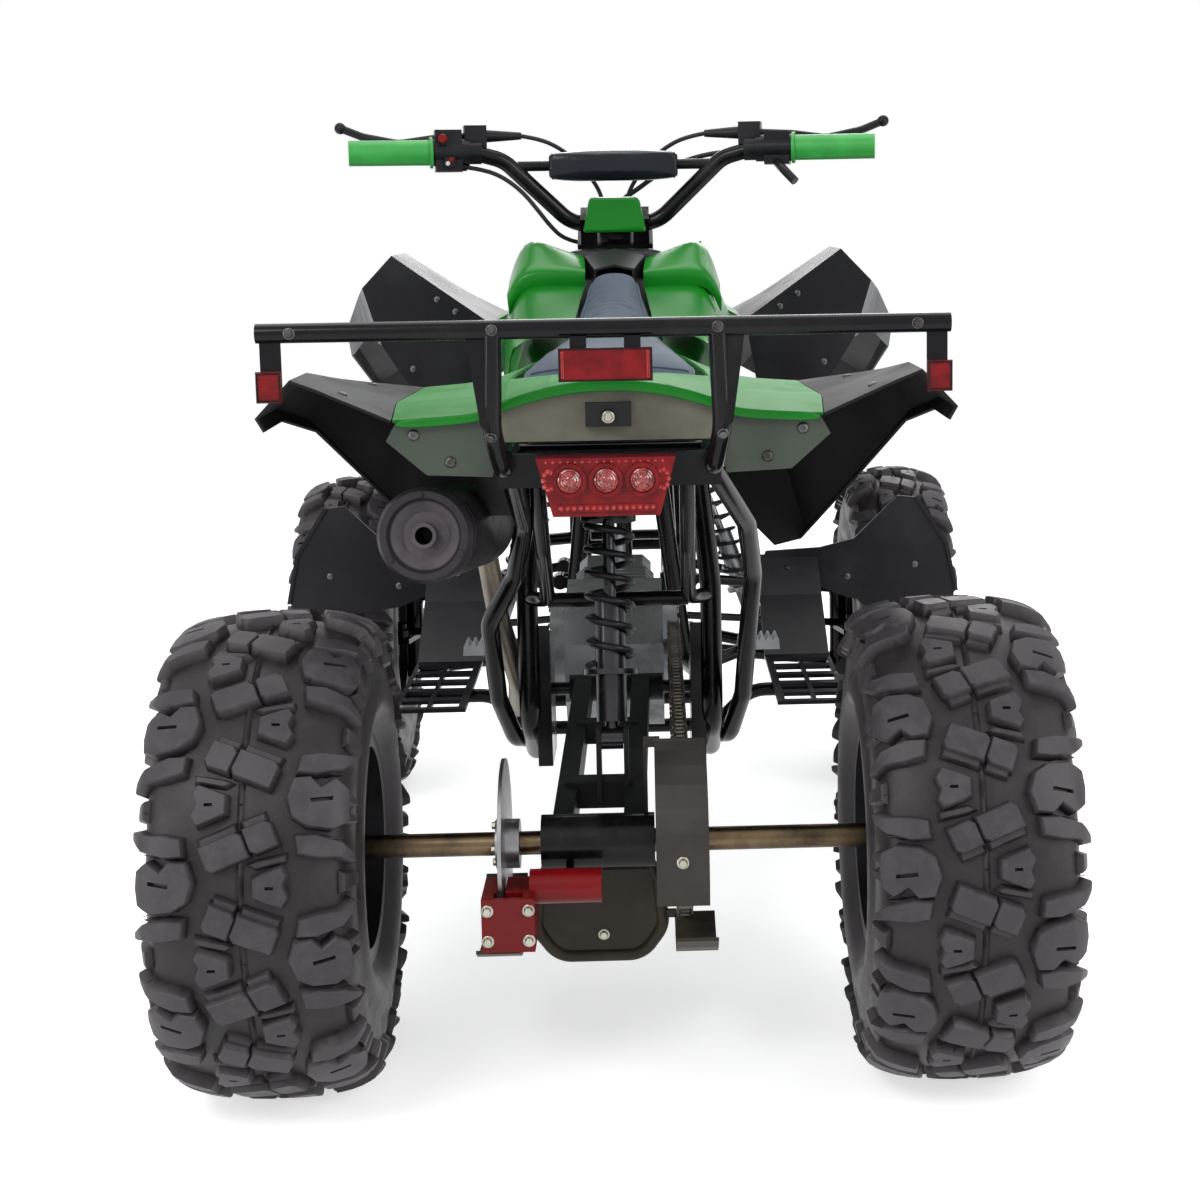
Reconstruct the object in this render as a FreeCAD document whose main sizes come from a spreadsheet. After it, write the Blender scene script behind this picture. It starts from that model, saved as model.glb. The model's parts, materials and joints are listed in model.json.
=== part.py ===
"""A sport quad bike, built as an assembly of separate pieces.

Millimetres. +X is the rider's right, +Y is forward and +Z is up.
The origin is on the ground, under the middle of the whole machine.
Stations are distances forward of the rear axle.
"""
import FreeCAD, Part
import Sketcher
import math
import os
import re
from FreeCAD import Placement, Rotation, Vector

os.makedirs("parts", exist_ok=True)
doc = FreeCAD.newDocument("QuadBike")

# Driving sizes, in millimetres and degrees
SIZES = {
    # Wheels and stance
    "tyre_radius": 254, "wheelbase": 1165, "nose_reach": 300, "rim_radius": 114,
    "rear_half_track": 352, "rear_tyre_width": 222,
    "front_half_track": 433, "front_tyre_width": 172,
    "rim_wall": 4, "tyre_wall": 12, "bead_inset": 26, "bead_wide": 12, "flange_tall": 8,
    "rear_lug_rows": 16, "front_lug_rows": 14, "lug_deep": 13, "bar_lug_long": 76, "bar_lug_wide": 27,
    "side_lug_long": 42, "lug_slant": 21,
    # Rear axle
    "shaft_radius": 12.5, "carrier_radius": 29.5, "carrier_left": 82, "carrier_right": 38,
    "bearing_play": 0.05, "disc_radius": 90, "disc_wall": 4, "disc_side": 121,
    # Chain drive
    "chain_side": 68, "chain_pitch": 12.7, "chain_links": 114, "chain_wide": 17,
    "rear_teeth": 39, "front_teeth": 15, "roller_radius": 4.2, "chain_rise": 9.5,
    # Swinging arm and dampers
    "pivot_station": 430, "pivot_height": 322, "pivot_radius": 8, "pivot_tube": 17,
    "arm_wide": 22, "arm_deep": 44, "shock_side": -7, "eye_long": 24, "eye_radius": 13,
    "shock_bolt": 5, "low_cup": 70, "high_cup": 28, "rear_spring_radius": 29, "rear_wire": 8,
    "front_spring_radius": 24, "front_wire": 6, "strut_foot_side": 214, "strut_foot_height": 250,
    "strut_head_side": 112, "strut_head_height": 530,
    # Frame tubes
    "rail_tube": 13, "rail_side": 112, "bay_side": 70, "rail_height": 232, "rear_tube": 11,
    "seat_rail_height": 668, "loop_tube": 11, "bumper_tube": 11, "rack_tube": 9.5,
    "rack_half": 333, "rack_height": 804, "rack_station": -132,
    "can_radius": 50, "peg_half": 290, "peg_station": 530, "crank_station": 640, "crank_height": 330, "case_drop": 82,
    # Steering
    "stem_tilt": 30, "stem_setback": 65, "stem_foot_height": 285, "bar_distance": 716,
    "stem_radius": 12, "bush_play": 0.05, "bush_wall": 6,
    "bar_tube": 11, "bar_half": 351, "bar_height": 1003, "grip_long": 112, "grip_radius": 17,
    "steer_arm": 55, "king_side": 345, "king_radius": 7, "stub_radius": 10,
    "rod_radius": 6, "rod_pin": 5, "eye_gap": 3, "knuckle_arm_top": 254, "rod_split": 15,
    # Front arms
    "arm_tube": 10, "arm_bolt": 6, "inner_side": 104, "lower_inner_height": 232,
    "upper_inner_height": 345, "lower_outer_height": 192, "upper_outer_height": 312, "arm_spread": 72,
    "joint_tall": 22, "sprocket_wall": 7,
    # Body skins and the gap between pieces that rest on each other
    "shell": 3, "touch_gap": 0.3, "shield_radius": 113, "shield_wall": 4,
    # Footwells
    "peg_height": 292, "well_inner": 196, "slot_long": 34, "slot_step": 52,
}
sheet = doc.addObject("Spreadsheet::Sheet", "Sizes")
for row, (alias, number) in enumerate(SIZES.items(), 1):
    sheet.set(f"A{row}", alias)
    sheet.set(f"B{row}", str(number))
    sheet.setAlias(f"B{row}", alias)
doc.recompute()


class Measures:
    """The sheet's sizes by name, for shapes that need sums on them."""
    def __getattr__(self, alias):
        return float(sheet.get(alias))


S = Measures()
rear_y = S.tyre_radius - (S.tyre_radius + S.wheelbase + S.nose_reach) / 2
front_y = rear_y + S.wheelbase
pieces = []


sideways = Vector(1, 0, 0)
forward = Vector(0, 1, 0)
wall = S.shell
gap = S.touch_gap


def at(side, station, height):
    """A point by its side, its station forward of the rear axle, and its height."""
    return Vector(side, rear_y + station, height)


def fore(side, ahead, height):
    """A point by its side, its distance ahead of the front axle, and its height."""
    return at(side, S.wheelbase + ahead, height)


def bound(formula):
    """The formula with each size read from the sheet."""
    return re.sub(r"[a-z_][a-z0-9_]*", lambda word: "Sizes." + word.group(0)
                  if word.group(0) in SIZES else word.group(0), str(formula))


def value(formula):
    return float(sheet.evalExpression(bound(formula)))


def keep(label, thing, place=None):
    """Label a finished sub-part and set where it stands."""
    thing.Label = label
    if place is not None:
        thing.Placement = place
    pieces.append(thing)
    return thing


def piece(label, shape):
    """A sub-part whose shape is made by Part's own functions."""
    thing = doc.addObject("Part::Feature", label)
    thing.Shape = shape
    return keep(label, thing)


def plane_sketch(body, role, name):
    sketch = body.newObject("Sketcher::SketchObject", name)
    plane = next(f for f in body.Origin.OriginFeatures if f.Role == role)
    sketch.AttachmentSupport = [(plane, "")]
    sketch.MapMode = "FlatFace"
    return sketch


def outline(sketch, corners):
    """A closed outline whose corners are bound to formulas."""
    spots = [Vector(value(a), value(b), 0) for a, b in corners]
    count = len(spots)
    first = sketch.GeometryCount
    for i in range(count):
        sketch.addGeometry(Part.LineSegment(spots[i], spots[(i + 1) % count]))
    for i in range(count):
        sketch.addConstraint(Sketcher.Constraint("Coincident", first + i, 2, first + (i + 1) % count, 1))
    for i, (a, b) in enumerate(corners):
        for kind, formula, number in (("DistanceX", a, spots[i].x), ("DistanceY", b, spots[i].y)):
            index = sketch.addConstraint(Sketcher.Constraint(kind, -1, 1, first + i, 1, number))
            sketch.setExpression(f"Constraints[{index}]", bound(formula))


def turned(label, corners, place, more=()):
    """A body turned about its own X axis, from corners of (side, radius)."""
    body = doc.addObject("PartDesign::Body", label)
    sketch = plane_sketch(body, "XZ_Plane", label + "_section")
    outline(sketch, corners)
    for ring in more:
        outline(sketch, ring)
    turn = body.newObject("PartDesign::Revolution", label + "_turn")
    turn.Profile = sketch
    turn.ReferenceAxis = (sketch, ["H_Axis"])
    turn.Angle = 360
    return keep(label, body, place)


def bent_path(points, bend):
    """Straight runs joined by arcs of the bend radius, or less where a run is short."""
    edges = []
    start = points[0]
    for before, corner, after in zip(points, points[1:], points[2:]):
        back, ahead = before - corner, after - corner
        half_turn = (math.pi - back.getAngle(ahead)) / 2
        reach = min(bend * math.tan(half_turn), 0.45 * back.Length, 0.45 * ahead.Length)
        radius = reach / math.tan(half_turn)
        enter = corner + back.normalize() * reach
        leave = corner + ahead.normalize() * reach
        inward = (back + ahead).normalize()
        middle = corner + inward * (radius / math.cos(half_turn) - radius)
        edges.append(Part.LineSegment(start, enter).toShape())
        edges.append(Part.Arc(enter, middle, leave).toShape())
        start = leave
    edges.append(Part.LineSegment(start, points[-1]).toShape())
    return Part.Wire(edges)


def rod(start, end, radius):
    """A round bar from one point to another."""
    return Part.makeCylinder(radius, (end - start).Length, start, end - start)


def tube(points, radius, bend=60):
    """A round tube along bent runs."""
    if len(points) == 2:
        return rod(points[0], points[1], radius)
    path = bent_path(points, bend)
    ring = Part.Wire(Part.makeCircle(radius, points[0], points[1] - points[0]))
    return path.makePipeShell([ring], True, False)


def fuse(shapes):
    joined = shapes[0].multiFuse(shapes[1:]) if len(shapes) > 1 else shapes[0]
    return joined.removeSplitter()


def weld(shapes):
    """Shapes joined one after another, where many tubes meet at one place."""
    joined = shapes[0]
    for shape in shapes[1:]:
        joined = joined.fuse(shape)
    return joined


def mirrored(shape):
    return shape.mirror(Vector(0, 0, 0), Vector(1, 0, 0))


def both(shape):
    """A shape and its mirror image, joined where they touch."""
    return fuse([shape, mirrored(shape)])


def pair(shape):
    """A shape and its mirror image, as two solids that stand apart."""
    return Part.makeCompound([shape, mirrored(shape)])


def block(low, high):
    return Part.makeBox(high.x - low.x, high.y - low.y, high.z - low.z, low)


def prism(points, sweep):
    """A flat outline swept along a vector."""
    return Part.Face(Part.makePolygon(points + points[:1])).extrude(sweep)


def loft(sections):
    """A solid through closed outlines with as many corners each."""
    return Part.makeLoft([Part.makePolygon(s + s[:1]) for s in sections], True, True)


axle = Placement(Vector(0, rear_y, S.tyre_radius), Rotation())


# Tyres: flat stretches round the wheel, each with one slanted bar and a lug over either shoulder
def lugged_tyre(width, rows_round):
    """A tyre about the X axis, with the middle of a stretch on the ground."""
    half, top = width / 2, S.tyre_radius
    ground, belly = top - S.lug_deep, top - 78
    turn = 2 * math.pi / rows_round
    bead = S.rim_radius + S.flange_tall + 1
    outer = [(half - S.bead_inset, S.rim_radius), (half - S.bead_inset, bead), (half, belly),
             (half - 11, ground - 17), (half - 48, ground)]
    inner = [(half - 22, top - 50), (half - S.bead_inset - S.bead_wide, S.rim_radius)]
    section = [(-x, r) for x, r in outer] + outer[::-1] + inner[::-1] + [(-x, r) for x, r in inner]

    def spot(row, step):
        side, reach = row
        radius, angle = reach / math.cos(turn / 2), turn * (step + 0.5)
        return Vector(side, radius * math.sin(angle), -radius * math.cos(angle))

    faces = []
    for a, b in zip(section, section[1:] + section[:1]):
        for step in range(rows_round):
            corners = [spot(a, step), spot(b, step), spot(b, step + 1), spot(a, step + 1)]
            faces.append(Part.Face(Part.makePolygon(corners + corners[:1])))
    lugs = []
    for number in range(rows_round):
        hand = 1 if number % 2 else -1
        long, wide = S.bar_lug_long * width / S.rear_tyre_width / 2, S.bar_lug_wide / 2
        bar = prism([Vector(x, y, -top) for x, y in ((-long, -wide), (long, -wide), (long, wide), (-long, wide))],
                    Vector(0, 0, S.lug_deep + 3))
        bar.rotate(Vector(0, 0, 0), Vector(0, 0, 1), hand * S.lug_slant)
        made = [bar]
        for side in (-1, 1):
            first = 9 * hand * side - S.side_lug_long / 2
            line = [(half - 50, top - 3), (half - 6, top - 21), (half - 13, top - 48), (half - 50, top - 22)]
            made.append(prism([Vector(side * x, first, -r) for x, r in line], Vector(0, S.side_lug_long, 0)))
        for lug in made:
            lug.rotate(Vector(0, 0, 0), sideways, math.degrees(turn) * number)
        lugs += made
    whole = Part.Solid(Part.Shell(faces)).multiFuse(lugs).removeSplitter()
    return whole.Solids[0]


# Wheels: a barrel with its two seats and flanges, a centre disc and a hub
def wheel_corners(half, disc_at, bore, hub_from, hub_to, hub_radius):
    flange = f"{half}-bead_inset+touch_gap"
    seat = f"{half}-bead_inset-bead_wide-1"
    shoulder = [
        (f"{seat}-7", "rim_radius-10"), (seat, "rim_radius-touch_gap"), (flange, "rim_radius-touch_gap"),
        (flange, "rim_radius+flange_tall"), (f"{flange}+rim_wall", "rim_radius+flange_tall"),
        (f"{flange}+rim_wall", "rim_radius-rim_wall-4"), (f"{seat}-3", "rim_radius-rim_wall-4"),
        (f"{seat}-10", "rim_radius-rim_wall-12"),
    ]
    barrel = "rim_radius-rim_wall-12"
    centre = [
        (f"{disc_at}+rim_wall", barrel), (f"{disc_at}+rim_wall", hub_radius), (hub_to, hub_radius),
        (hub_to, bore), (hub_from, bore), (hub_from, hub_radius), (disc_at, hub_radius), (disc_at, barrel),
    ]
    return [(f"-({across})", radius) for across, radius in shoulder[::-1]] + shoulder + centre


rear_rubber = lugged_tyre(S.rear_tyre_width, int(S.rear_lug_rows))
front_rubber = lugged_tyre(S.front_tyre_width, int(S.front_lug_rows))
for name, sign in (("left", -1), ("right", 1)):
    facing = Rotation(Vector(0, 0, 1), 180 if sign < 0 else 0)
    rear_place = Placement(Vector(sign * S.rear_half_track, rear_y, S.tyre_radius), facing)
    front_place = Placement(Vector(sign * S.front_half_track, front_y, S.tyre_radius), facing)
    for end, rubber, spot in (("rear", rear_rubber, rear_place), ("front", front_rubber, front_place)):
        tyre = rubber.copy()
        tyre.Placement = spot
        piece(f"{end}_tyre_{name}", tyre)
    turned(f"rear_rim_{name}", wheel_corners("rear_tyre_width/2", "20", "shaft_radius", "-22", "46", "34"),
           rear_place)
    turned(f"front_rim_{name}", wheel_corners("front_tyre_width/2", "12", "stub_radius+bearing_play",
                                              "-26", "34", "30"), front_place)

# Rear axle: the live shaft, its brake disc and its sprocket
shaft_half = "(rear_half_track+46)"
turned("rear_shaft", [
    (f"-{shaft_half}", "0"), (f"{shaft_half}", "0"), (f"{shaft_half}", "shaft_radius"),
    (f"-{shaft_half}", "shaft_radius")], axle)
turned("brake_disc", [
    ("-disc_side-disc_wall/2", "disc_radius"), ("-disc_side-disc_wall/2", "26"),
    ("-disc_side-9", "26"), ("-disc_side-9", "shaft_radius"),
    ("-disc_side+16", "shaft_radius"), ("-disc_side+16", "26"),
    ("-disc_side+disc_wall/2", "26"), ("-disc_side+disc_wall/2", "disc_radius")], axle)

rear_pitch = S.chain_pitch / 2 / math.sin(math.pi / S.rear_teeth)
front_pitch = S.chain_pitch / 2 / math.sin(math.pi / S.front_teeth)


def sprocket(teeth, pitch_radius, wall):
    """A toothed disc in the YZ plane, whose teeth stand between the rollers."""
    root = pitch_radius - S.roller_radius - 0.3
    tip = pitch_radius + 2.5
    points = []
    for tooth in range(int(teeth)):
        middle = 2 * math.pi * (tooth + 0.5) / teeth
        step = 2 * math.pi / teeth
        for part, radius in ((-0.31, root), (-0.1, tip), (0.1, tip), (0.31, root)):
            angle = middle + part * step
            points.append(Vector(-wall / 2, radius * math.cos(angle), radius * math.sin(angle)))
    return prism(points, Vector(wall, 0, 0))


drop = math.asin(S.chain_rise * 10 / 552)
centre_gap = S.chain_pitch * (S.chain_links - (S.rear_teeth + S.front_teeth) / 2
                              - ((S.rear_teeth - S.front_teeth) / 2 / math.pi) ** 2 / 43.5) / 2
front_sprocket = Vector(S.chain_side, rear_y + centre_gap * math.cos(drop),
                        S.tyre_radius + centre_gap * math.sin(drop))
rear_sprocket = Vector(S.chain_side, rear_y, S.tyre_radius)
wheel = sprocket(S.rear_teeth, rear_pitch, S.sprocket_wall)
wheel = wheel.cut(rod(Vector(-9, 0, 0), Vector(9, 0, 0), S.shaft_radius))
boss = rod(Vector(-16, 0, 0), Vector(12, 0, 0), 28).cut(rod(Vector(-20, 0, 0), Vector(20, 0, 0), S.shaft_radius))
wheel = fuse([wheel, boss])
wheel.translate(rear_sprocket)
piece("sprocket", wheel)

# Chain: two rows of side plates with the rollers between them, in flat facets round both sprockets
def chain_loop(offset):
    """The closed line at a distance outside the pitch line."""
    big, small = rear_pitch + offset, front_pitch + offset
    tilt = math.asin((big - small) / centre_gap)
    upper, lower = drop + math.pi / 2 - tilt, drop - math.pi / 2 + tilt

    def arc(centre, radius, first, last, steps):
        reach = radius / math.cos((last - first) / steps / 4) ** 2
        return [centre + Vector(0, reach * math.cos(a), reach * math.sin(a)) for a in
                (first + (last - first) * step / steps for step in range(steps + 1))]
    points = (arc(front_sprocket, small, upper, lower, 6)
              + arc(rear_sprocket, big, lower + 2 * math.pi, upper, 11))
    return Part.Face(Part.makePolygon(points + points[:1]))


def chain_row(outer, inner, side, thick):
    row = chain_loop(outer).cut(chain_loop(inner)).extrude(Vector(thick, 0, 0))
    row.translate(Vector(side, 0, 0))
    return row


plate_tall = 5.8
plates = [chain_row(plate_tall, -plate_tall, side, 3.6) for side in (-S.chain_wide / 2, S.chain_wide / 2 - 3.6)]
rollers = chain_row(plate_tall - 1.2, plate_tall - 2.6, -S.chain_wide / 2 + 1, S.chain_wide - 2)
piece("chain", fuse(plates + [rollers]))

# Axle carrier: a turned housing that clamps in the swinging arm, with the caliper's lug
carrier_bore = S.shaft_radius + S.bearing_play
housing = rod(axle.Base - Vector(S.carrier_left, 0, 0), axle.Base + Vector(S.carrier_right, 0, 0),
              S.carrier_radius)
lug = prism([at(-56, s, h) for s, h in ((-14, 232), (-62, 236), (-74, 222), (-60, 208), (0, 226))],
            Vector(8, 0, 0))
housing = fuse([housing, lug]).cut(rod(axle.Base - Vector(300, 0, 0), axle.Base + Vector(300, 0, 0),
                                       carrier_bore))
carrier = piece("axle_carrier", housing)

# Swinging arm: two flat-sided arms, the pivot tube, gussets and the damper's ears
pivot = at(0, S.pivot_station, S.pivot_height)
shock_foot = at(S.shock_side, 112, 338)
shock_head = at(S.shock_side, 175, 600)
eye_half = S.eye_long / 2


def arm_bar(side, at_pivot):
    """A flat-sided arm from the pivot tube to the axle carrier."""
    half, wide = S.arm_deep / 2, S.arm_wide / 2
    front = [Vector(at_pivot + x, pivot.y - 4, pivot.z + z) for x, z in
             ((-wide, -half * 0.7), (wide, -half * 0.7), (wide, half * 0.7), (-wide, half * 0.7))]
    rear = [Vector(side + x, axle.Base.y + 20, axle.Base.z + z) for x, z in
            ((-wide, -half), (wide, -half), (wide, half), (-wide, half))]
    return loft([front, rear])


arm_left, arm_right = -60, 16
arms = [arm_bar(arm_left, -48), arm_bar(arm_right, 24),
        rod(pivot + Vector(-66, 0, 0), pivot + Vector(52, 0, 0), S.pivot_tube),
        block(at(arm_left, 96, 262), at(arm_right, 128, 292)), block(at(-52, 270, 290), at(20, 296, 316))]
ear_inner, ear_outer = eye_half + 0.5, eye_half + 6
for sign in (-1, 1):
    ear = prism([at(S.shock_side + min(sign * ear_inner, sign * ear_outer), s, h) for s, h in
                 ((90, 270), (134, 270), (124, 350), (100, 350))], Vector(ear_outer - ear_inner, 0, 0))
    arms.append(ear)
swing = fuse(arms)
swing = swing.cut(rod(axle.Base - Vector(200, 0, 0), axle.Base + Vector(200, 0, 0), S.carrier_radius))
swing = swing.cut(rod(pivot - Vector(200, 0, 0), pivot + Vector(200, 0, 0), S.pivot_radius + 0.3))
swing = swing.fuse(rod(shock_foot - Vector(ear_outer, 0, 0), shock_foot + Vector(ear_outer, 0, 0),
                       S.shock_bolt))
swing = swing.removeSplitter()
piece("swingarm", swing)


# Dampers: eye, body, lower cup, rod, upper cup and eye
def strut(foot, head, across, body_radius, rod_radius, cup_radius):
    line = (head - foot).normalize()
    long = (head - foot).Length
    parts = [Part.makeCylinder(body_radius, long * 0.5, foot + line * 18, line),
             Part.makeCylinder(rod_radius, long * 0.6, foot + line * long * 0.38, line),
             Part.makeCylinder(cup_radius, 6, foot + line * S.low_cup, line),
             Part.makeCylinder(cup_radius, 8, foot + line * (long - S.high_cup), line),
             Part.makeCylinder(body_radius * 0.7, S.high_cup - 10, foot + line * (long - S.high_cup), line)]
    for end, step in ((foot, line), (head, line * -1)):
        parts.append(Part.makeCylinder(S.eye_radius, S.eye_long, end - across * eye_half, across))
        parts.append(Part.makeCylinder(8, 22, end, step))
    body = fuse(parts)
    for end in (foot, head):
        body = body.cut(Part.makeCylinder(S.shock_bolt + 0.3, 60, end - across * 30, across))
    return body


def coil(foot, head, outer, wire, turns):
    """A wound spring between the two cups, in short straight facets."""
    line = (head - foot).normalize()
    low = S.low_cup + 6 + S.touch_gap
    long = (head - foot).Length - S.low_cup - S.high_cup - 6 - 2 * S.touch_gap
    round_steps, sides = 12, 6
    rings = []
    for step in range(turns * round_steps + 1):
        angle = 2 * math.pi * step / round_steps
        away = Vector(math.cos(angle), math.sin(angle), 0)
        centre = away * (outer - wire / 2) + Vector(0, 0, wire / 2 + (long - wire) * step / turns / round_steps)
        rings.append([centre + away * (wire / 2 * math.cos(turn)) + Vector(0, 0, wire / 2 * math.sin(turn))
                      for turn in (2 * math.pi * side / sides for side in range(sides))])
    outlines = [rings[0], rings[-1]]
    for a, b in zip(rings, rings[1:]):
        for side in range(sides):
            after = (side + 1) % sides
            outlines += [[a[side], a[after], b[side]], [a[after], b[after], b[side]]]
    spring = Part.Solid(Part.Shell([Part.Face(Part.makePolygon(o + o[:1])) for o in outlines]))
    spring.Placement = Placement(foot + line * low, Rotation(Vector(0, 0, 1), line))
    return spring


piece("rear_damper", strut(shock_foot, shock_head, sideways, 17, 7, 31))
piece("rear_spring", coil(shock_foot, shock_head, S.rear_spring_radius, S.rear_wire, 6))
front_foot = at(S.strut_foot_side, S.wheelbase, S.strut_foot_height)
front_head = at(S.strut_head_side, S.wheelbase, S.strut_head_height)
piece("front_dampers", pair(strut(front_foot, front_head, forward, 15, 6, 26)))
piece("front_springs", pair(coil(front_foot, front_head, S.front_spring_radius, S.front_wire, 8)))

# Main frame: lower rails, backbone, front bay, pivot plates and the stem's bushes
rail, bay = S.rail_side, S.bay_side
low_rail = tube([fore(bay, 125, 292), fore(bay, 75, S.rail_height), fore(bay, -85, S.rail_height),
                 fore(rail, -265, S.rail_height), at(rail, 470, S.rail_height),
                 at(rail, 350, 300), at(rail, 350, 470), at(98, 310, 600), at(98, 292, 660)], S.rail_tube, 70)
top_rail = tube([at(98, 300, 640), at(76, 420, 640), at(50, 560, 646), fore(38, -395, 735),
                 fore(38, -315, 742)], S.rail_tube, 80)
front_leg = tube([fore(92, -175, S.rail_height), fore(70, -215, 400), fore(48, -285, 590), fore(38, -365, 738)],
                 S.rail_tube, 80)
fore_leg = tube([fore(bay, 80, S.rail_height), fore(bay, 60, 400), fore(bay - 6, 15, 545), fore(50, -275, 560)],
                S.rail_tube, 60)
frame = both(fuse([low_rail, top_rail, front_leg, fore_leg]))
tie_tube = 9
mount_top = S.crank_height - S.case_drop - S.touch_gap
ties = [rod(at(-half, s, h), at(half, s, h), tie_tube) for half, s, h in
        ((bay, S.wheelbase + 75, S.rail_height), (bay, S.wheelbase - 70, S.rail_height),
         (bay, S.wheelbase + 61, 380), (bay - 6, S.wheelbase + 7, 545),
         (rail, 560, mount_top - tie_tube), (rail, 720, mount_top - tie_tube),
         (62, 500, 643), (44, 680, 690))]
for sign in (-1, 1):
    ties.append(tube([at(sign * (rail - 4), S.peg_station, S.rail_height), at(sign * 168, S.peg_station, S.peg_height),
                      at(sign * S.peg_half, S.peg_station, S.peg_height)], tie_tube, 50))
    ties.append(tube([at(sign * 92, 452, 318), at(sign * 122, 486, 342), at(sign * 150, 514, 346)], 8, 30))
for sign in (-1, 1):
    low_side, high_side = sorted((sign * 86, sign * (rail - 8)))
    plate_side = prism([at(low_side, s, h) for s, h in
                        ((360, 240), (480, 236), (452, 350), (410, 350), (348, 420))],
                       Vector(high_side - low_side, 0, 0))
    near, far = sorted((sign * 86, sign * rail))
    ties += [plate_side, rod(fore(sign * 66, -63, S.rail_height), fore(sign * 66, -65, 292), 8)]
    strut_lug = [block(fore(S.strut_head_side * sign - 9, s, S.strut_head_height - 10),
                       fore(S.strut_head_side * sign + 9, s + 5, S.strut_head_height + 22))
                 for s in (-eye_half - 5.5, eye_half + 0.5)]
    ties += strut_lug
    ties.append(rod(at(S.strut_head_side * sign, S.wheelbase - eye_half - 5.5, S.strut_head_height),
                    at(S.strut_head_side * sign, S.wheelbase + eye_half + 5.5, S.strut_head_height),
                    S.shock_bolt))
    arm_low, arm_high = sorted((sign * (bay - 6), sign * (S.strut_head_side + 9)))
    ties += [block(fore(arm_low, s, S.strut_head_height + 10), fore(arm_high, s + 5, S.strut_head_height + 22))
             for s in (-eye_half - 5.5, eye_half + 0.5)]
    for height in (S.lower_inner_height, S.upper_inner_height):
        for step in (-S.arm_spread, S.arm_spread):
            ties.append(rod(at(sign * S.inner_side, S.wheelbase + step - 20, height),
                            at(sign * S.inner_side, S.wheelbase + step + 20, height), S.arm_bolt))
            for end in (-20, 16.5):
                low, high = sorted((sign * (bay - 10), sign * (S.inner_side + 8)))
                ties.append(block(at(low, S.wheelbase + step + end, height - 9),
                                  at(high, S.wheelbase + step + end + 3.5, height + 9)))
ties.append(rod(fore(bay, -75, S.rail_height), fore(bay - 6, -75, S.upper_inner_height + 10), 10))
ties.append(rod(fore(-bay, -75, S.rail_height), fore(-bay + 6, -75, S.upper_inner_height + 10), 10))
ties.append(rod(fore(bay - 6, -85, S.upper_inner_height), fore(bay, 67, S.upper_inner_height + 6), 9))
ties.append(rod(fore(-bay + 6, -85, S.upper_inner_height), fore(-bay, 67, S.upper_inner_height + 6), 9))

# The stem's line, and the blocks that carry it
stem_foot = fore(0, -S.stem_setback, S.stem_foot_height)
tilt = math.radians(S.stem_tilt)
stem_line = Vector(0, -math.sin(tilt), math.cos(tilt))
stem_back = Vector(0, -math.cos(tilt), -math.sin(tilt))


def stem_at(distance):
    return stem_foot + stem_line * distance


def tilted_block(width, deep, low, high):
    """A block across the stem's line, between two distances along it."""
    shape = block(Vector(-width, -deep, low), Vector(width, deep, high))
    shape.rotate(Vector(0, 0, 0), Vector(1, 0, 0), S.stem_tilt)
    shape.translate(stem_foot)
    return shape


def bush(low, high, width):
    """A split block that holds the stem in a plain bore."""
    ring = Part.makeCylinder(S.stem_radius + S.bush_wall, high - low, stem_at(low), stem_line)
    return fuse([ring, tilted_block(width, 12, low, high)])


frame = weld([frame] + ties + [bush(522, 552, 44), bush(0, 28, 70)])
frame = frame.cut(Part.makeCylinder(S.stem_radius + S.bush_play, 1200, stem_at(-200), stem_line))
frame = frame.fuse(rod(pivot - Vector(102, 0, 0), pivot + Vector(102, 0, 0), S.pivot_radius))
piece("main_frame", frame)

# Rear frame: seat rails, heel loops, cross members and the damper's bracket
can_back = at(-193, -20, 589)
can_front = at(-167, 300, 555)
can_line = (can_back - can_front).normalize()
rail_top = S.seat_rail_height
rear_rail = tube([at(98, 286, rail_top), at(102, 160, rail_top), at(104, -52, rail_top)], S.rear_tube)
right_loop = tube([at(104, -10, rail_top - 14), at(146, 120, 575), at(157, 210, 505), at(150, 350, 330),
                   at(136, 420, 262), at(rail + 6, 500, 240)], S.loop_tube, 60)
left_loop = tube([at(-104, -10, rail_top - 14), at(-100, 150, 575), at(-116, 215, 505), at(-152, 270, 440),
                  at(-150, 350, 330), at(-136, 420, 262), at(-rail - 6, 500, 240)], S.loop_tube, 60)
upright = tube([at(80, 30, rail_top), at(82, 180, 540), at(84, 300, 460), at(106, 341, 455)], 9, 60)
parts = [rear_rail, mirrored(rear_rail), right_loop, left_loop, upright, mirrored(upright),
         rod(at(-102, 190, rail_top), at(102, 190, rail_top), 9),
         rod(at(-103, 30, rail_top), at(103, 30, rail_top), 9),
         rod(at(-84, 300, 460), at(84, 300, 460), 9),
         block(at(-112, -66, rail_top - 26), at(112, -52, rail_top + 8))]
for sign in (-1, 1):
    low, high = sorted((S.shock_side + sign * (eye_half + 0.5), S.shock_side + sign * (eye_half + 5)))
    parts.append(prism([at(low, s, h) for s, h in ((160, 588), (190, 588), (202, rail_top), (176, rail_top))],
                       Vector(high - low, 0, 0)))
parts.append(rod(shock_head - Vector(eye_half + 5, 0, 0), shock_head + Vector(eye_half + 5, 0, 0),
                 S.shock_bolt))
can_room = Part.makeCylinder(S.can_radius + gap, 600, can_back + can_line * 60, can_line * -1)
hanger = prism([at(-150, s, h) for s, h in ((110, 590), (150, 590), (150, 640), (110, 640))],
               Vector(48, 0, 0)).cut(can_room)
seats_on = [low_rail, mirrored(low_rail), top_rail, mirrored(top_rail)]
rear_frame = weld([part.cut(seats_on) for part in parts + [hanger]])
piece("rear_frame", rear_frame)

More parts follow.
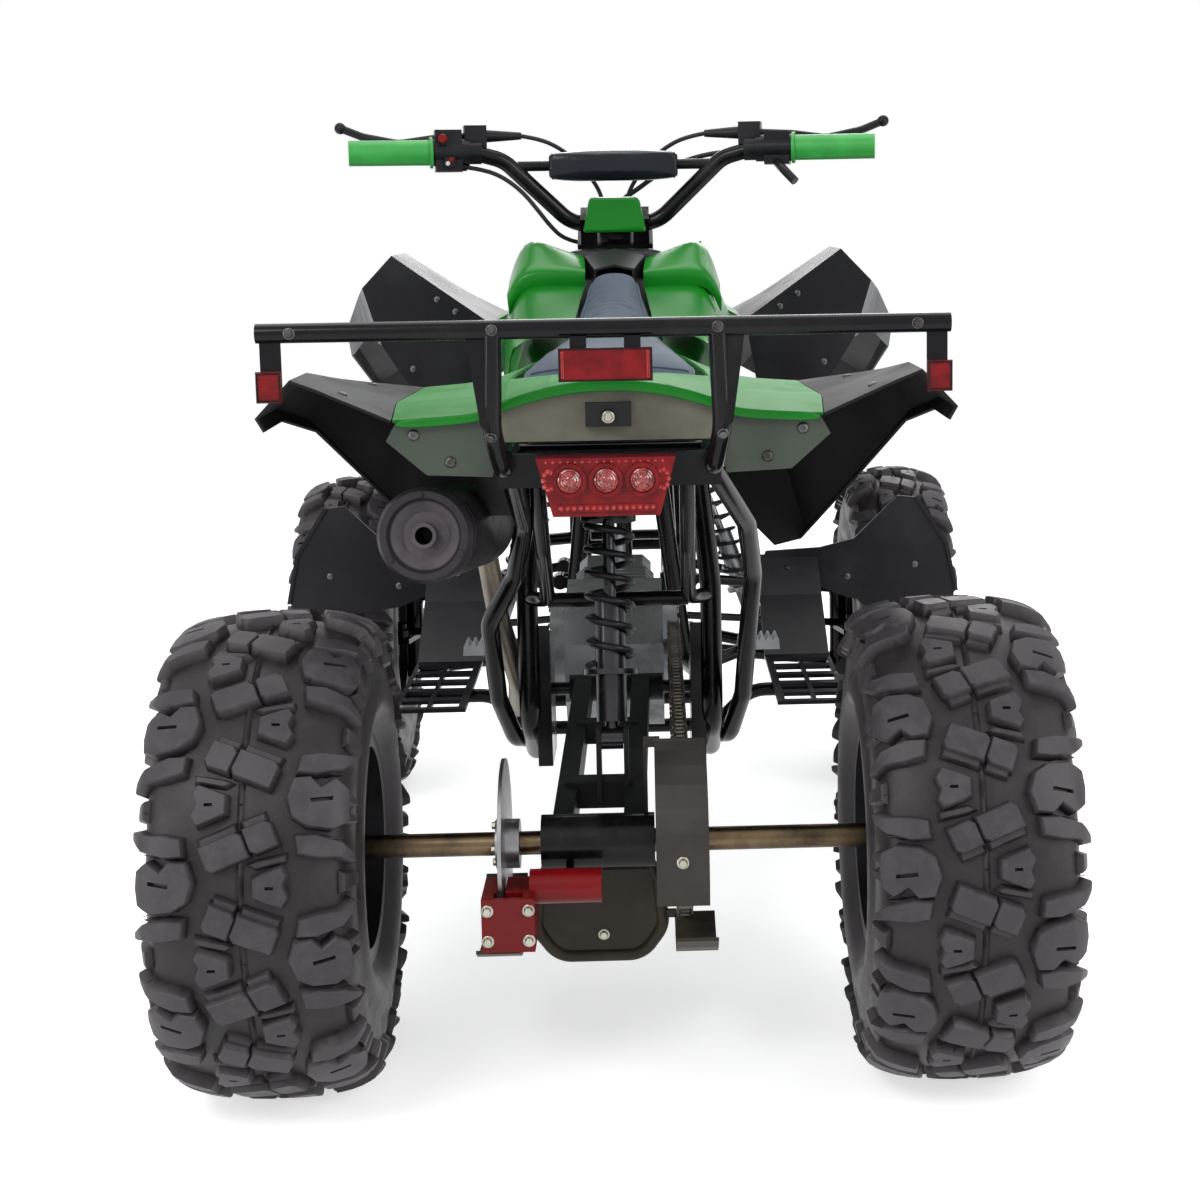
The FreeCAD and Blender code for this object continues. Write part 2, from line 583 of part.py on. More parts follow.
# Rack: a straight bar on two uprights, with brackets for the reflectors
rack_mid = at(0, S.rack_station, S.rack_height)
rack = [rod(rack_mid - Vector(S.rack_half, 0, 0), rack_mid + Vector(S.rack_half, 0, 0), S.rack_tube)]
for sign in (-1, 1):
    rack.append(tube([at(sign * 108, S.rack_station, S.rack_height), at(sign * 112, -124, 706),
                      at(sign * 104, -96, 664), at(sign * 104, -66 - S.touch_gap, 664)], S.rack_tube, 50))
    rack.append(prism([at(sign * x, S.rack_station - 2, S.rack_height - down) for x, down in
                       ((112, 8), (134, 5), (131, 30), (122, 92), (114, 100))], Vector(0, 4, 0)))
    rack.append(block(at(sign * 320 - 10, -134, 745), at(sign * 320 + 10, -131, 800)))
    rack.append(block(at(sign * 26 - 8, -141, 765), at(sign * 26 + 8, -138, 797)))
    rack.append(block(at(sign * 26 - 8, -141, 793), at(sign * 26 + 8, -132, 797)))
piece("rack", fuse(rack))

# Front bumper: two bowed loops with cross bars, on the ends of the lower rails
bow = tube([fore(bay, 125.6, 296), fore(78, 215, 306), fore(90, 281, 356), fore(90, 288, 470), fore(84, 235, 556),
            fore(70, 135, 552), fore(66, 29, 548)], S.bumper_tube, 60)
front_reach = S.wheelbase + S.nose_reach - S.bumper_tube
bars = [tube([fore(-140, 259, h), at(-80, front_reach, h), at(80, front_reach, h), fore(140, 259, h)],
             S.bumper_tube, 50) for h in (360, 470)]
bumper = fuse([both(bow)] + bars).cut(frame)
piece("front_bumper", bumper)

# Engine: crankcase, side covers, finned barrel and head, and the drive sprocket
crank = at(0, S.crank_station, S.crank_height)
case = prism([crank + Vector(-74, y, z) for y, z in
              ((-150, -40), (-150, 35), (-100, 80), (20, 92), (95, 60), (110, -50), (70, -S.case_drop),
               (-110, -S.case_drop))], Vector(128, 0, 0))
lean = math.radians(14)
bore_line = Vector(0, math.cos(lean), math.sin(lean))
bore_up = Vector(0, -math.sin(lean), math.cos(lean))
base = crank + Vector(-12, 80, 8)


def fin(distance, wide, tall, thick):
    low = base + bore_line * distance
    return prism([low + Vector(x, 0, 0) + bore_up * up for x, up in
                  ((-wide, -tall + 12), (-wide + 12, -tall), (wide - 12, -tall), (wide, -tall + 12),
                   (wide, tall - 12), (wide - 12, tall), (-wide + 12, tall), (-wide, tall - 12))],
                 bore_line * thick)


engine = [case, Part.makeCylinder(62, 24, crank + Vector(-98, 20, 0), sideways),
          Part.makeCylinder(66, 20, crank + Vector(54, 40, -4), sideways),
          Part.makeCylinder(40, 130, base, bore_line),
          Part.makeCylinder(16, 60, base + bore_line * 130 + bore_up * 40 - Vector(0, 20, 0), bore_up)]
engine += [fin(32 + number * 11, 56, 54, 3.5) for number in range(7)]
engine.append(fin(112, 52, 50, 40))
engine = fuse(engine)
engine = engine.cut(Part.makeCylinder(front_pitch + 12, 80, front_sprocket - Vector(14, 0, 0), sideways))
teeth = sprocket(S.front_teeth, front_pitch, S.sprocket_wall)
teeth.translate(front_sprocket)
engine = fuse([engine, Part.makeCylinder(11, 20, front_sprocket - Vector(16, 0, 0), sideways), teeth])
engine = engine.cut(frame)
piece("engine", engine)

# Exhaust: the pipe and the round muffler with its stepped end cap
port = base + bore_line * 134 - bore_up * 44
pipe = tube([port, port - bore_up * 62 + Vector(-6, 8, 0), at(-60, 840, 262), at(-134, 700, 262),
             at(-138, 520, 276), at(-128, 400, 340), at(-146, 340, 430), can_front - can_line * 40,
             can_front], 13, 60)
pipe = pipe.cut(engine).cut(frame)
piece("exhaust_pipe", pipe)
can_long = (can_back - can_front).Length
cap_at, dish_at, rim_at = can_long - 26, can_long - 13, can_long - 6
can_profile = [(0, 0), (34, 0), (S.can_radius, 26), (S.can_radius, cap_at - 5), (S.can_radius - 3, cap_at - 4),
               (S.can_radius - 3, cap_at), (S.can_radius, cap_at + 1), (S.can_radius, rim_at),
               (S.can_radius - 4, can_long), (S.can_radius - 11, can_long), (S.can_radius - 14, rim_at),
               (24, dish_at), (13, dish_at), (13, can_long), (9, can_long), (9, can_long - 40), (0, can_long - 40)]
outline_face = Part.Face(Part.makePolygon([Vector(r, 0, z) for r, z in can_profile + can_profile[:1]]))
can = outline_face.revolve(Vector(0, 0, 0), Vector(0, 0, 1), 360)
screws = []
for degree in (90, 210, 330):
    turn = math.radians(degree)
    screws.append(Part.makeCylinder(3.2, 6, Vector(42.5 * math.cos(turn), 42.5 * math.sin(turn), can_long - 3)))
can = fuse([can] + screws)
can.Placement = Placement(can_front, Rotation(Vector(0, 0, 1), can_line))
piece("muffler", can)

# Guard under the axle: a tube loop with its plate
loop = tube([at(arm_left, 62, 250), at(-88, 56, 190), at(-94, 54, 140), at(-70, 54, 108), at(22, 54, 108),
             at(46, 54, 140), at(40, 56, 190), at(arm_right, 62, 250)], 7, 30)
skid = prism([at(x, 52, z) for x, z in ((-86, 205), (-90, 150), (-68, 112), (20, 112), (42, 150), (38, 205))],
             Vector(0, 4, 0))


def around_axle(degree, radius, side):
    turn = math.radians(degree)
    return Vector(side, axle.Base.y + radius * math.cos(turn), axle.Base.z + radius * math.sin(turn))


def shield(low_side, high_side, first, last, radius):
    """A bent strip round the axle, in eight flats."""
    turns = [first + (last - first) * step / 8 for step in range(9)]
    points = [around_axle(t, radius + S.shield_wall, low_side) for t in turns]
    points += [around_axle(t, radius, low_side) for t in reversed(turns)]
    return prism(points, Vector(high_side - low_side, 0, 0))


guards = [shield(-150, -104, 238, 326, S.shield_radius), shield(58, 102, 226, 299, S.shield_radius),
          block(at(-106, 50, 150), at(-90, 62, 158)), block(at(42, 50, 150), at(60, 57, 158))]
guard = fuse([loop, skid] + guards).cut(swing).cut(carrier.Shape)
piece("skid_guard", guard)


# Front arms: a lower and an upper wishbone each side
def wishbone(inner_height, outer_height, radius):
    tip = at(S.king_side, S.wheelbase, outer_height)
    shapes = [Part.makeCylinder(15, S.joint_tall, tip - Vector(0, 0, S.joint_tall / 2))]
    for step in (-S.arm_spread, S.arm_spread):
        start = at(S.inner_side, S.wheelbase + step, inner_height)
        shapes.append(rod(start, tip + Vector(-6, step * 0.06, 0), radius))
        shapes.append(rod(start - Vector(0, 16, 0), start + Vector(0, 16, 0), 12))
    return fuse(shapes)


def arm_bores(shape, inner_height, outer_height):
    for step in (-S.arm_spread, S.arm_spread):
        start = at(S.inner_side, S.wheelbase + step, inner_height)
        shape = shape.cut(rod(start - Vector(0, 40, 0), start + Vector(0, 40, 0), S.arm_bolt + 0.3))
    return shape.cut(Part.makeCylinder(S.king_radius + S.bearing_play, 80,
                                       at(S.king_side, S.wheelbase, outer_height - 40)))


foot_pin = at(S.strut_foot_side, S.wheelbase, S.strut_foot_height)
lower = wishbone(S.lower_inner_height, S.lower_outer_height, S.arm_tube)
perch = [block(foot_pin + Vector(-9, s, -30), foot_pin + Vector(9, s + 5, 8))
         for s in (-eye_half - 5.5, eye_half + 0.5)]
perch.append(rod(foot_pin - Vector(0, eye_half + 5.5, 0), foot_pin + Vector(0, eye_half + 5.5, 0),
                 S.shock_bolt))
perch.append(rod(foot_pin + Vector(0, -44, -32), foot_pin + Vector(0, 44, -32), 9))
lower = arm_bores(fuse([lower] + perch), S.lower_inner_height, S.lower_outer_height)
upper = arm_bores(wishbone(S.upper_inner_height, S.upper_outer_height, S.arm_tube - 2),
                  S.upper_inner_height, S.upper_outer_height)
piece("lower_arms", pair(lower))
piece("upper_arms", pair(upper))

# Knuckles: king pin, stub axle, brake plate and steering arm
rod_height = S.knuckle_arm_top + S.eye_gap + 6
pin_out = S.rod_split * math.cos(math.radians(S.stem_tilt))
for name, sign in (("left", -1), ("right", 1)):
    king = at(sign * S.king_side, S.wheelbase, 0)

    def out(x, y, z):
        return Vector(king.x + sign * x, king.y + y, z)
    low_end = S.lower_outer_height + S.joint_tall / 2 + S.touch_gap
    high_end = S.upper_outer_height - S.joint_tall / 2 - S.touch_gap
    shapes = [Part.makeCylinder(14, high_end - low_end, out(0, 0, low_end)),
              Part.makeCylinder(S.king_radius, S.upper_outer_height - S.lower_outer_height + S.joint_tall,
                                out(0, 0, S.lower_outer_height - S.joint_tall / 2)),
              rod(out(34, 0, S.tyre_radius), out(40, 0, S.tyre_radius), 70),
              rod(out(0, 0, S.tyre_radius), out(S.front_half_track - S.king_side + 36, 0, S.tyre_radius),
                  S.stub_radius),
              rod(out(8, 0, S.tyre_radius), out(S.front_half_track - S.king_side - 26.3, 0, S.tyre_radius), 16)]
    foot = [out(-10, -8, 0), out(10, -8, 0), out(pin_out + 10, -S.steer_arm - 10, 0),
            out(pin_out - 10, -S.steer_arm - 10, 0)]
    steering_arm = prism([Vector(p.x, p.y, S.knuckle_arm_top - 8) for p in foot], Vector(0, 0, 8))
    pin = Part.makeCylinder(S.rod_pin, rod_height + 14 - S.knuckle_arm_top + 4,
                            out(pin_out, -S.steer_arm, S.knuckle_arm_top - 4))
    piece(f"knuckle_{name}", fuse(shapes + [steering_arm, pin]))

# Steering stem: column, pitman plate and the bar's clamps
bar_mid = stem_at(S.bar_distance)
plate_low, plate_high = 34, 42
eye_low = plate_high + 6
half_eye = 5
stem = [Part.makeCylinder(S.stem_radius, S.bar_distance - 20 + 24, stem_at(-24), stem_line),
        prism([stem_at(plate_low) + stem_back * b + Vector(x, 0, 0) for x, b in
               ((-18, -16), (18, -16), (30, S.steer_arm + 4), (24, S.steer_arm + 10), (-24, S.steer_arm + 10),
                (-30, S.steer_arm + 4))], stem_line * (plate_high - plate_low)),
        tilted_block(52, 20, S.bar_distance - 36, S.bar_distance - 22)]
for side in (-36, 36):
    clamp = block(Vector(side - 11, -17, S.bar_distance - 24), Vector(side + 11, 17, S.bar_distance + 16))
    clamp.rotate(Vector(0, 0, 0), sideways, S.stem_tilt)
    clamp.translate(stem_foot)
    stem.append(clamp)
for side in (-S.rod_split, S.rod_split):
    eye_mid = stem_at(plate_high) + stem_back * S.steer_arm + Vector(side, 0, 0)
    stem.append(Part.makeCylinder(9, 6.2, eye_mid - stem_line * 0.5, stem_line))
    stem.append(Part.makeCylinder(S.rod_pin, 6 + 2 * half_eye + 4, eye_mid - stem_line * 2, stem_line))
guide_top = bar_mid.z + 19
stem.append(block(Vector(-22, bar_mid.y + 22, bar_mid.z - 27), Vector(22, bar_mid.y + 34, guide_top)))
stem = fuse(stem).cut(rod(bar_mid - Vector(80, 0, 0), bar_mid + Vector(80, 0, 0), S.bar_tube))
piece("steering_stem", stem)

# Tie rods: an eye on the pitman's pin and an eye round the knuckle's pin
for name, sign in (("left", -1), ("right", 1)):
    inner = stem_at(eye_low + half_eye) + stem_back * S.steer_arm + Vector(sign * S.rod_split, 0, 0)
    outer = at(sign * (S.king_side + pin_out), S.wheelbase - S.steer_arm, rod_height)
    inner_eye = Part.makeCylinder(12, 2 * half_eye, inner - stem_line * half_eye, stem_line)
    outer_eye = Part.makeCylinder(13, 2 * half_eye, outer - Vector(0, 0, half_eye))
    bar = rod(inner, outer, S.rod_radius)
    link = fuse([inner_eye, outer_eye, bar])
    link = link.cut(Part.makeCylinder(S.rod_pin + S.bearing_play, 60, inner - stem_line * 30, stem_line))
    link = link.cut(Part.makeCylinder(12, 12, inner - stem_line * (half_eye + 12), stem_line))
    link = link.cut(Part.makeCylinder(S.rod_pin + 3, 40, outer - Vector(0, 0, 20)))
    piece(f"tie_rod_{name}", link)

# Handlebar, cross bar, pad, grips, controls and cover
bar_station = bar_mid.y - rear_y


def by_bar(side, ahead_of, rise):
    """A point by its distances from the handlebar's middle and its grips' height."""
    return at(side, bar_station + ahead_of, S.bar_height + rise)


bend_in = by_bar(190, -30, 0)
bar_end = by_bar(S.bar_half, -55, 0)
bar_points = [Vector(-1, bar_mid.y, bar_mid.z), Vector(58, bar_mid.y, bar_mid.z), by_bar(149, -20, -11), bend_in,
              bar_end]
half_bar = tube(bar_points, S.bar_tube, 50)
brace = rod(by_bar(-136, -14, -19), by_bar(136, -14, -19), 7)
piece("handlebar", fuse([both(half_bar), brace]))
grip_line = (bar_end - bend_in).normalize()
sleeve_bore = Part.makeCylinder(S.bar_tube + 0.1, 150.1, bar_end - grip_line * 150, grip_line)
grip = Part.makeCylinder(S.grip_radius, S.grip_long, bar_end - grip_line * (S.grip_long - 3), grip_line)
grip = fuse([grip, Part.makeCylinder(S.grip_radius + 4, 4, bar_end - grip_line * (S.grip_long - 3), grip_line)])
piece("grips", pair(grip.cut(sleeve_bore)))
pad = block(by_bar(-93, -33, -39), by_bar(93, 5, -1))
piece("bar_pad", pad.cut(rod(by_bar(-200, -14, -19), by_bar(200, -14, -19), 7)))
cover_front = bar_station - S.bar_tube - S.touch_gap
cover = prism([at(x, cover_front - 30, bar_mid.z + z) for x, z in ((-44, -13), (44, -13), (34, 36), (-34, 36))],
              Vector(0, 30, 0))
piece("bar_cover", cover.cut(stem))
collar = Part.makeCylinder(18, 34, bar_end - grip_line * (S.grip_long + 32), grip_line).cut(sleeve_bore)
ahead = Vector(-grip_line.y, grip_line.x, 0)


def on_bar(inboard, front, rise):
    """A point by its distance in from the bar's end, in front of the bar and above it."""
    return bar_end - grip_line * inboard + ahead * front + Vector(0, 0, rise)


def bar_box(inboard, across, front, deep, rise, tall):
    """A box set along the handlebar."""
    corners = [on_bar(inboard, front, rise), on_bar(inboard + across, front, rise),
               on_bar(inboard + across, front + deep, rise), on_bar(inboard, front + deep, rise)]
    return prism(corners, Vector(0, 0, tall))


bar_room = tube(bar_points, S.bar_tube + 0.1, 50)
perch_ring = Part.makeCylinder(16, 16, on_bar(S.grip_long + 62, 0, 0), grip_line)
boot_end = on_bar(S.grip_long + 118, 12, 22)
boot_start = on_bar(S.grip_long + 66, 9, 22)
boot = Part.makeCone(9, 5, (boot_end - boot_start).Length, boot_start, boot_end - boot_start)
perch = [perch_ring, bar_box(S.grip_long + 40, 30, -6, 28, 6, 30), boot]
lever_line = [on_bar(S.grip_long + 50, 18, 22), on_bar(S.grip_long, 34, 20), on_bar(66, 46, 14),
              on_bar(18, 58, 24), on_bar(-12, 60, 36)]
lever = tube(lever_line, 5.5, 40)
tip = Part.makeSphere(8, lever_line[-1])
link_block = Part.makeCylinder(18, 14, on_bar(S.grip_long + 46, 0, 0), grip_line)
shared = [collar, link_block, lever, tip] + perch
switch_box = [bar_box(S.grip_long, 36, -15, 32, -26, 56),
              rod(on_bar(S.grip_long + 10, -20, 18), on_bar(S.grip_long + 10, -14, 18), 7),
              bar_box(S.grip_long + 12, 14, -20, 6, -20, 14)]
throttle = [bar_box(S.grip_long, 34, -15, 34, -22, 44),
            tube([on_bar(S.grip_long + 18, -10, -18), on_bar(S.grip_long + 6, -34, -30),
                  on_bar(S.grip_long - 10, -44, -46)], 6, 30)]
lead_socket = rod(on_bar(S.grip_long + 30, -4, -20), on_bar(S.grip_long + 42, -4, -20), 5)
left_set = mirrored(fuse(shared + switch_box + [lead_socket]).cut(bar_room))
throttle_socket = rod(on_bar(S.grip_long + 30, 24, -4), on_bar(S.grip_long + 44, 24, -4), 7)
throttle.append(bar_box(S.grip_long + 4, 28, 16, 16, -14, 22))
right_set = fuse(shared + throttle + [throttle_socket]).cut(bar_room)
piece("controls", Part.makeCompound([left_set, right_set]))


# Free lines from the controls to the guide on the stem
def line_of(label, points, radius):
    """A line whose arcs are as large as its runs allow."""
    bends = []
    for before, corner, after in zip(points, points[1:], points[2:]):
        back, on = before - corner, after - corner
        half_turn = (math.pi - back.getAngle(on)) / 2
        bends.append(0.45 * min(back.Length, on.Length) / math.tan(half_turn))
    shape = tube(points, radius, 10000).cut([stem, left_set, right_set])
    print(label, "long", round(shape.Volume / math.pi / radius ** 2), "tightest bend", round(min(bends)))
    return piece(label, shape)


def left_of(points):
    return [Vector(-p.x, p.y, p.z) for p in points]


into_guide = [by_bar(74, 10, 6), by_bar(50, 22, -13), by_bar(30, 30, -37), by_bar(18, 31, -59), Vector(14, bar_mid.y + 28, guide_top)]
line_of("clutch_cable", left_of([boot_end, by_bar(100, -1, 18)] + into_guide), 3)
line_of("brake_line", [boot_end, by_bar(100, -1, 18)] + into_guide, 3)
socket_end = on_bar(S.grip_long + 44, 24, -4)
line_of("throttle_cable", [socket_end, by_bar(170, -3, -3), by_bar(142, 2, -4), by_bar(114, 9, -9),
                           by_bar(84, 17, -19), by_bar(55, 25, -35), by_bar(30, 30, -53), by_bar(10, 32, -65),
                           Vector(0, bar_mid.y + 28, guide_top)], 3.5)
line_of("switch_lead", left_of([on_bar(S.grip_long + 42, -4, -20), by_bar(172, -35, -24), by_bar(146, -34, -36),
                                by_bar(123, -28, -55), by_bar(105, -19, -78), by_bar(88, -8, -101), by_bar(71, 4, -118),
                                by_bar(52, 13, -123)]), 3)


# Thin moulded skins: lines of (side, height) points at stations, with one wall
def strip(points, wall):
    """A thin closed outline along a line of points, its wall on the right of the line."""
    runs = []
    for p, q in zip(points, points[1:]):
        long = math.hypot(q[0] - p[0], q[1] - p[1])
        runs.append(((q[1] - p[1]) / long, (p[0] - q[0]) / long))
    inner = []
    for i, point in enumerate(points):
        near = runs[max(i - 1, 0):i + 1]
        across, up = sum(n[0] for n in near), sum(n[1] for n in near)
        scale = wall * len(near) / (across * across + up * up)
        inner.append((point[0] + across * scale, point[1] + up * scale))
    return list(points) + inner[::-1]


def skin(stations, wall, sign=1):
    rows = []
    for station, points in stations:
        rows.append([at(sign * x, station, z) for x, z in strip(points, wall)])
    return Part.makeLoft([Part.makePolygon(row + row[:1]) for row in rows], True, True)


def symmetric(points):
    """A line from the left edge to the right one, from its right half out from the middle."""
    return [(-x, z) for x, z in points[:0:-1]] + points


# Seat
seat_stations = [(36, 92, 750, 700), (110, 98, 765, 690), (250, 84, 772, 690), (400, 54, 796, 690),
                 (560, 32, 850, 716)]
seat_floor = rail_top + 11 + gap


def seat_ring(station, half, top, bottom):
    return [at(x, station, z) for x, z in
            ((-half, bottom), (half, bottom), (half, top - 22), (half * 0.72, top), (-half * 0.72, top),
             (-half, top - 22))]


seat = loft([seat_ring(s, h, t, seat_floor) for s, h, t, b in seat_stations])
piece("seat", seat)


def seat_half(station):
    """The seat's half width at a station."""
    for (a, wide, *rest), (b, narrow, *more) in zip(seat_stations, seat_stations[1:]):
        if a <= station <= b:
            return wide + (narrow - wide) * (station - a) / (b - a)
    return seat_stations[0][1]


# Rear fender: a crowned rear edge and a wing each side of the seat
crown_rear = symmetric([(0, 748), (60, 743), (104, 730), (128, 716), (216, 712)])
crown_front = symmetric([(0, 750), (60, 748), (104, 744), (130, 728), (222, 722)])
crown = skin([(-56, crown_rear), (34, crown_front)], wall)
wing_stations = [(34, [(104, 744), (130, 728), (222, 722)]),
                 (110, [(seat_half(110) + 3.6, 745), (128, 731), (213, 725)]),
                 (160, [(seat_half(160) + 3.6, 746), (126, 734), (206, 728)]),
                 (250, [(seat_half(250) + 3.6, 748), (116, 735), (187, 718)]),
                 (300, [(seat_half(300) + 3.6, 750), (110, 736), (176, 712)]),
                 (430, [(seat_half(430) + 3.6, 752), (84, 712), (136, 655)])]
wing = skin(wing_stations, wall)
piece("rear_fender", fuse([crown, both(wing)]))

# Fascia under the crown, facing the rear
fascia_points = [(0, 744), (60, 739), (104, 726), (128, 712.4), (214, 708), (224, 690), (184, 655),
                 (118, 652), (112, 687), (0, 687)]
fascia = both(prism([at(x, -50, z) for x, z in fascia_points], Vector(0, wall, 0)))
latch = fuse([block(at(-23, -62, 702), at(23, -50, 726)), rod(at(0, -68, 712), at(0, -62, 712), 7)])
fascia = fuse([fascia, latch]).cut(rear_frame)
piece("rear_fascia", fascia)

# Liners: the black outer wings and wheel arches, each with its front wall
liner_stations = [(-60, [(216.8, 712), (290, 744), (316, 754), (352, 716), (344, 702)]),
                  (34, [(222.8, 722), (290, 744), (314, 755), (350, 718), (342, 704)]),
                  (160, [(206.8, 728), (276, 736), (304, 740), (336, 694), (328, 680)]),
                  (300, [(176.8, 712), (240, 700), (272, 690), (300, 618), (292, 606)]),
                  (430, [(136.8, 655), (190, 616), (216, 596), (238, 520), (230, 508)])]
liner = skin(liner_stations, wall)
wall_points = [(136.8, 655), (190, 616), (216, 596), (238, 520), (230, 508), (196, 500), (150, 548),
               (134, 600)]
liner = fuse([liner, prism([at(x, 430, z) for x, z in wall_points], Vector(0, wall, 0))])
piece("rear_liners", pair(liner))

# Tank cowl and the side panels
cowl = skin([(572, symmetric([(0, 852), (26, 846), (34, 700)])),
             (640, symmetric([(0, 872), (40, 862), (62, 700)])),
             (706, symmetric([(0, 860), (44, 850), (72, 720)]))], wall)
piece("tank_cowl", cowl)
panel = skin([(440, [(60, 748), (84, 710), (132, 652), (126, 600)]),
              (560, [(62, 800), (112, 766), (140, 690), (132, 616)]),
              (650, [(70, 868), (116, 880), (136, 770), (140, 640)]),
              (760, [(96, 800), (124, 850), (150, 768), (150, 660)]),
              (872, [(128, 776), (150, 800), (176, 740), (168, 690)])], wall)
piece("side_panels", pair(panel))

# Nose and front fenders share a seam
seam = {-285: (186, 764), -145: (178, 772), 0: (168, 764), 165: (140, 722), 275: (112, 650)}
nose_inner = {-285: [(0, 812), (60, 812), (120, 800)], -145: [(0, 826), (50, 822), (118, 806)],
              0: [(0, 820), (46, 812), (112, 794)], 165: [(0, 772), (40, 766), (96, 748)],
              275: [(0, 690), (32, 684), (82, 668)]}
nose = skin([(S.wheelbase + s, symmetric(nose_inner[s] + [(seam[s][0] - 0.5, seam[s][1])])) for s in seam],
            wall)
brow = prism([fore(x, 272, z) for x, z in
              ((-110, 648), (-82, 667), (-32, 683), (32, 683), (82, 667), (110, 648), (96, 590), (40, 560), (-40, 560), (-96, 590))],
             Vector(0, wall, 0))
piece("nose_cowl", fuse([nose, brow]))
outer_edge = {-285: [(326, 864), (370, 818), (345, 735)], -145: [(322, 866), (396, 800), (384, 744)],
              0: [(316, 838), (436, 744), (430, 704)], 165: [(268, 742), (410, 650), (404, 624)],
              275: [(206, 660), (320, 596), (316, 584)]}
cheek_points = [(186, 764), (326, 864), (370, 818), (345, 735), (300, 665), (248, 644), (204, 652)]
for name, sign in (("left", -1), ("right", 1)):
    shell = skin([(S.wheelbase + s, [seam[s]] + outer_edge[s]) for s in seam], wall, sign)
    cheek = prism([fore(sign * x, -285, z) for x, z in cheek_points], Vector(0, wall, 0))
    piece(f"front_fender_{name}", fuse([shell, cheek]))

# Footwells: a tray on the peg bar, a toe board and a splash guard behind the front tyre
floor = S.peg_height + tie_tube + gap
well_line = [(400, 0), (S.wheelbase - 485, 0), (S.wheelbase - 375, 64), (S.wheelbase - 303, 112)]
rows = []
for station, rise in well_line:
    outer = S.peg_half - 4
    rows.append([at(x, station, floor + rise + z) for x, z in
                 ((S.well_inner, 0), (outer, 0), (outer, 5), (S.well_inner, 5))])
tray = loft(rows)
slots = [block(at(x, station, floor - 20), at(x + 34, station + S.slot_long, floor + 30))
         for station in (412 + S.slot_step * number for number in range(5)) for x in (206, 246)]
tray = tray.cut(Part.makeCompound(slots))
splash = prism([fore(x, -309, z) for x, z in
                ((S.well_inner, 392), (250, 384), (330, 352), (484, 330), (489, 360), (474, 430), (430, 500),
                 (405, 503), (340, 440), (290, 428), (210, 424))], Vector(0, 5, 0))
lip = prism([fore(x, -313, z) for x, z in ((430, 500), (474, 430), (489, 360), (494, 360), (479, 432), (434, 503))],
            Vector(0, 14, 0))
piece("footwells", pair(fuse([tray, splash, lip])))

# Foot pegs: a toothed block on the end of each peg's arm
teeth_line = []
for number in range(6):
    first = 152 + number * 9
    teeth_line += [(first, 364), (first + 3, 370), (first + 5, 370), (first + 8, 364)]
peg = prism([at(x, 500, z) for x, z in [(151, 352)] + teeth_line + [(206, 352)]], Vector(0, 34, 0))
peg_arms = [tube([at(sign * 92, 452, 318), at(sign * 122, 486, 342), at(sign * 150, 514, 346)], 8.3, 30)
            for sign in (-1, 1)]
piece("foot_pegs", pair(peg.cut(peg_arms[1])))

# Lamps and reflectors
lamp_back = -66 - gap - 34
lamp_parts = [prism([at(x, lamp_back, z) for x, z in ((-56, 617), (50, 617), (66, 675), (-72, 675))],
                    Vector(0, 34, 0)),
              block(at(-50, lamp_back - 3, 622), at(44, lamp_back, 629))]
for side in (-39, -3, 33):
    lens = rod(at(side, lamp_back - 5, 653), at(side, lamp_back, 653), 17)
    lamp_parts.append(lens.cut(rod(at(side, lamp_back - 6, 653), at(side, lamp_back - 2, 653), 13)))
piece("tail_light", fuse(lamp_parts))
piece("rear_reflector", block(at(-45, -148, 754), at(45, -141 - gap, 786)))
piece("side_reflectors", pair(block(at(310, -140, 738), at(334, -134 - gap, 768))))
piece("headlights", pair(block(fore(24, 275 + gap, 596), fore(76, 287, 640))))

# Chain guard: a curved strip over the rear of the sprocket, on a bracket from the arm
guard_from, guard_to = 39, 93


bent = range(62, 216, 14)
strip_points = [around_axle(d, 107, guard_from) for d in bent] + [around_axle(d, 104, guard_from)
                                                             for d in reversed(bent)]
bracket_side = arm_right + S.arm_wide / 2 + gap
bracket = prism([at(bracket_side, s, h) for s, h in ((34, 262), (64, 262), (44, 352), (6, 358.5), (6, 354))],
                Vector(4, 0, 0))
tab = block(at(bracket_side, 8, 353), at(guard_from + 6, 40, 357))
chain_guard = fuse([prism(strip_points, Vector(guard_to - guard_from, 0, 0)), bracket, tab])
piece("chain_guard", chain_guard.cut(swing))

# Brake caliper: two halves astride the disc, on a pin block behind the carrier
grip_low, grip_high = 170, 226
left_half = block(at(-S.disc_side - 19, -78, grip_low), at(-S.disc_side - 4, -26, grip_high))
right_half = block(at(-S.disc_side + 4, -78, grip_low), at(-S.disc_side + 35, -26, grip_high))
bridge = block(at(-S.disc_side - 19, -100, grip_low), at(-S.disc_side + 35, -94, grip_high))
cheeks = [block(at(x, -98, grip_low), at(x + 12, -74, grip_high)) for x in
          (-S.disc_side - 19, -S.disc_side + 23)]
cylinder = rod(at(-S.disc_side + 29, -60, 226), at(-18, -60, 226), 18)
caliper = fuse([left_half, right_half, bridge, cylinder] + cheeks).cut(carrier.Shape)
piece("caliper", caliper)

# Every sub-part is checked, then written
doc.recompute()
for thing in doc.Objects:
    if "Invalid" in thing.State or "Error" in thing.State:
        raise RuntimeError(f"{thing.Name} failed: {thing.State}")
for thing in pieces:
    if thing.Shape.isNull() or not thing.Shape.isValid():
        raise RuntimeError(f"{thing.Label} has no valid shape")
for thing in pieces:
    thing.Shape.exportStep(f"parts/{thing.Label}.step")
print(len(pieces), "pieces written")
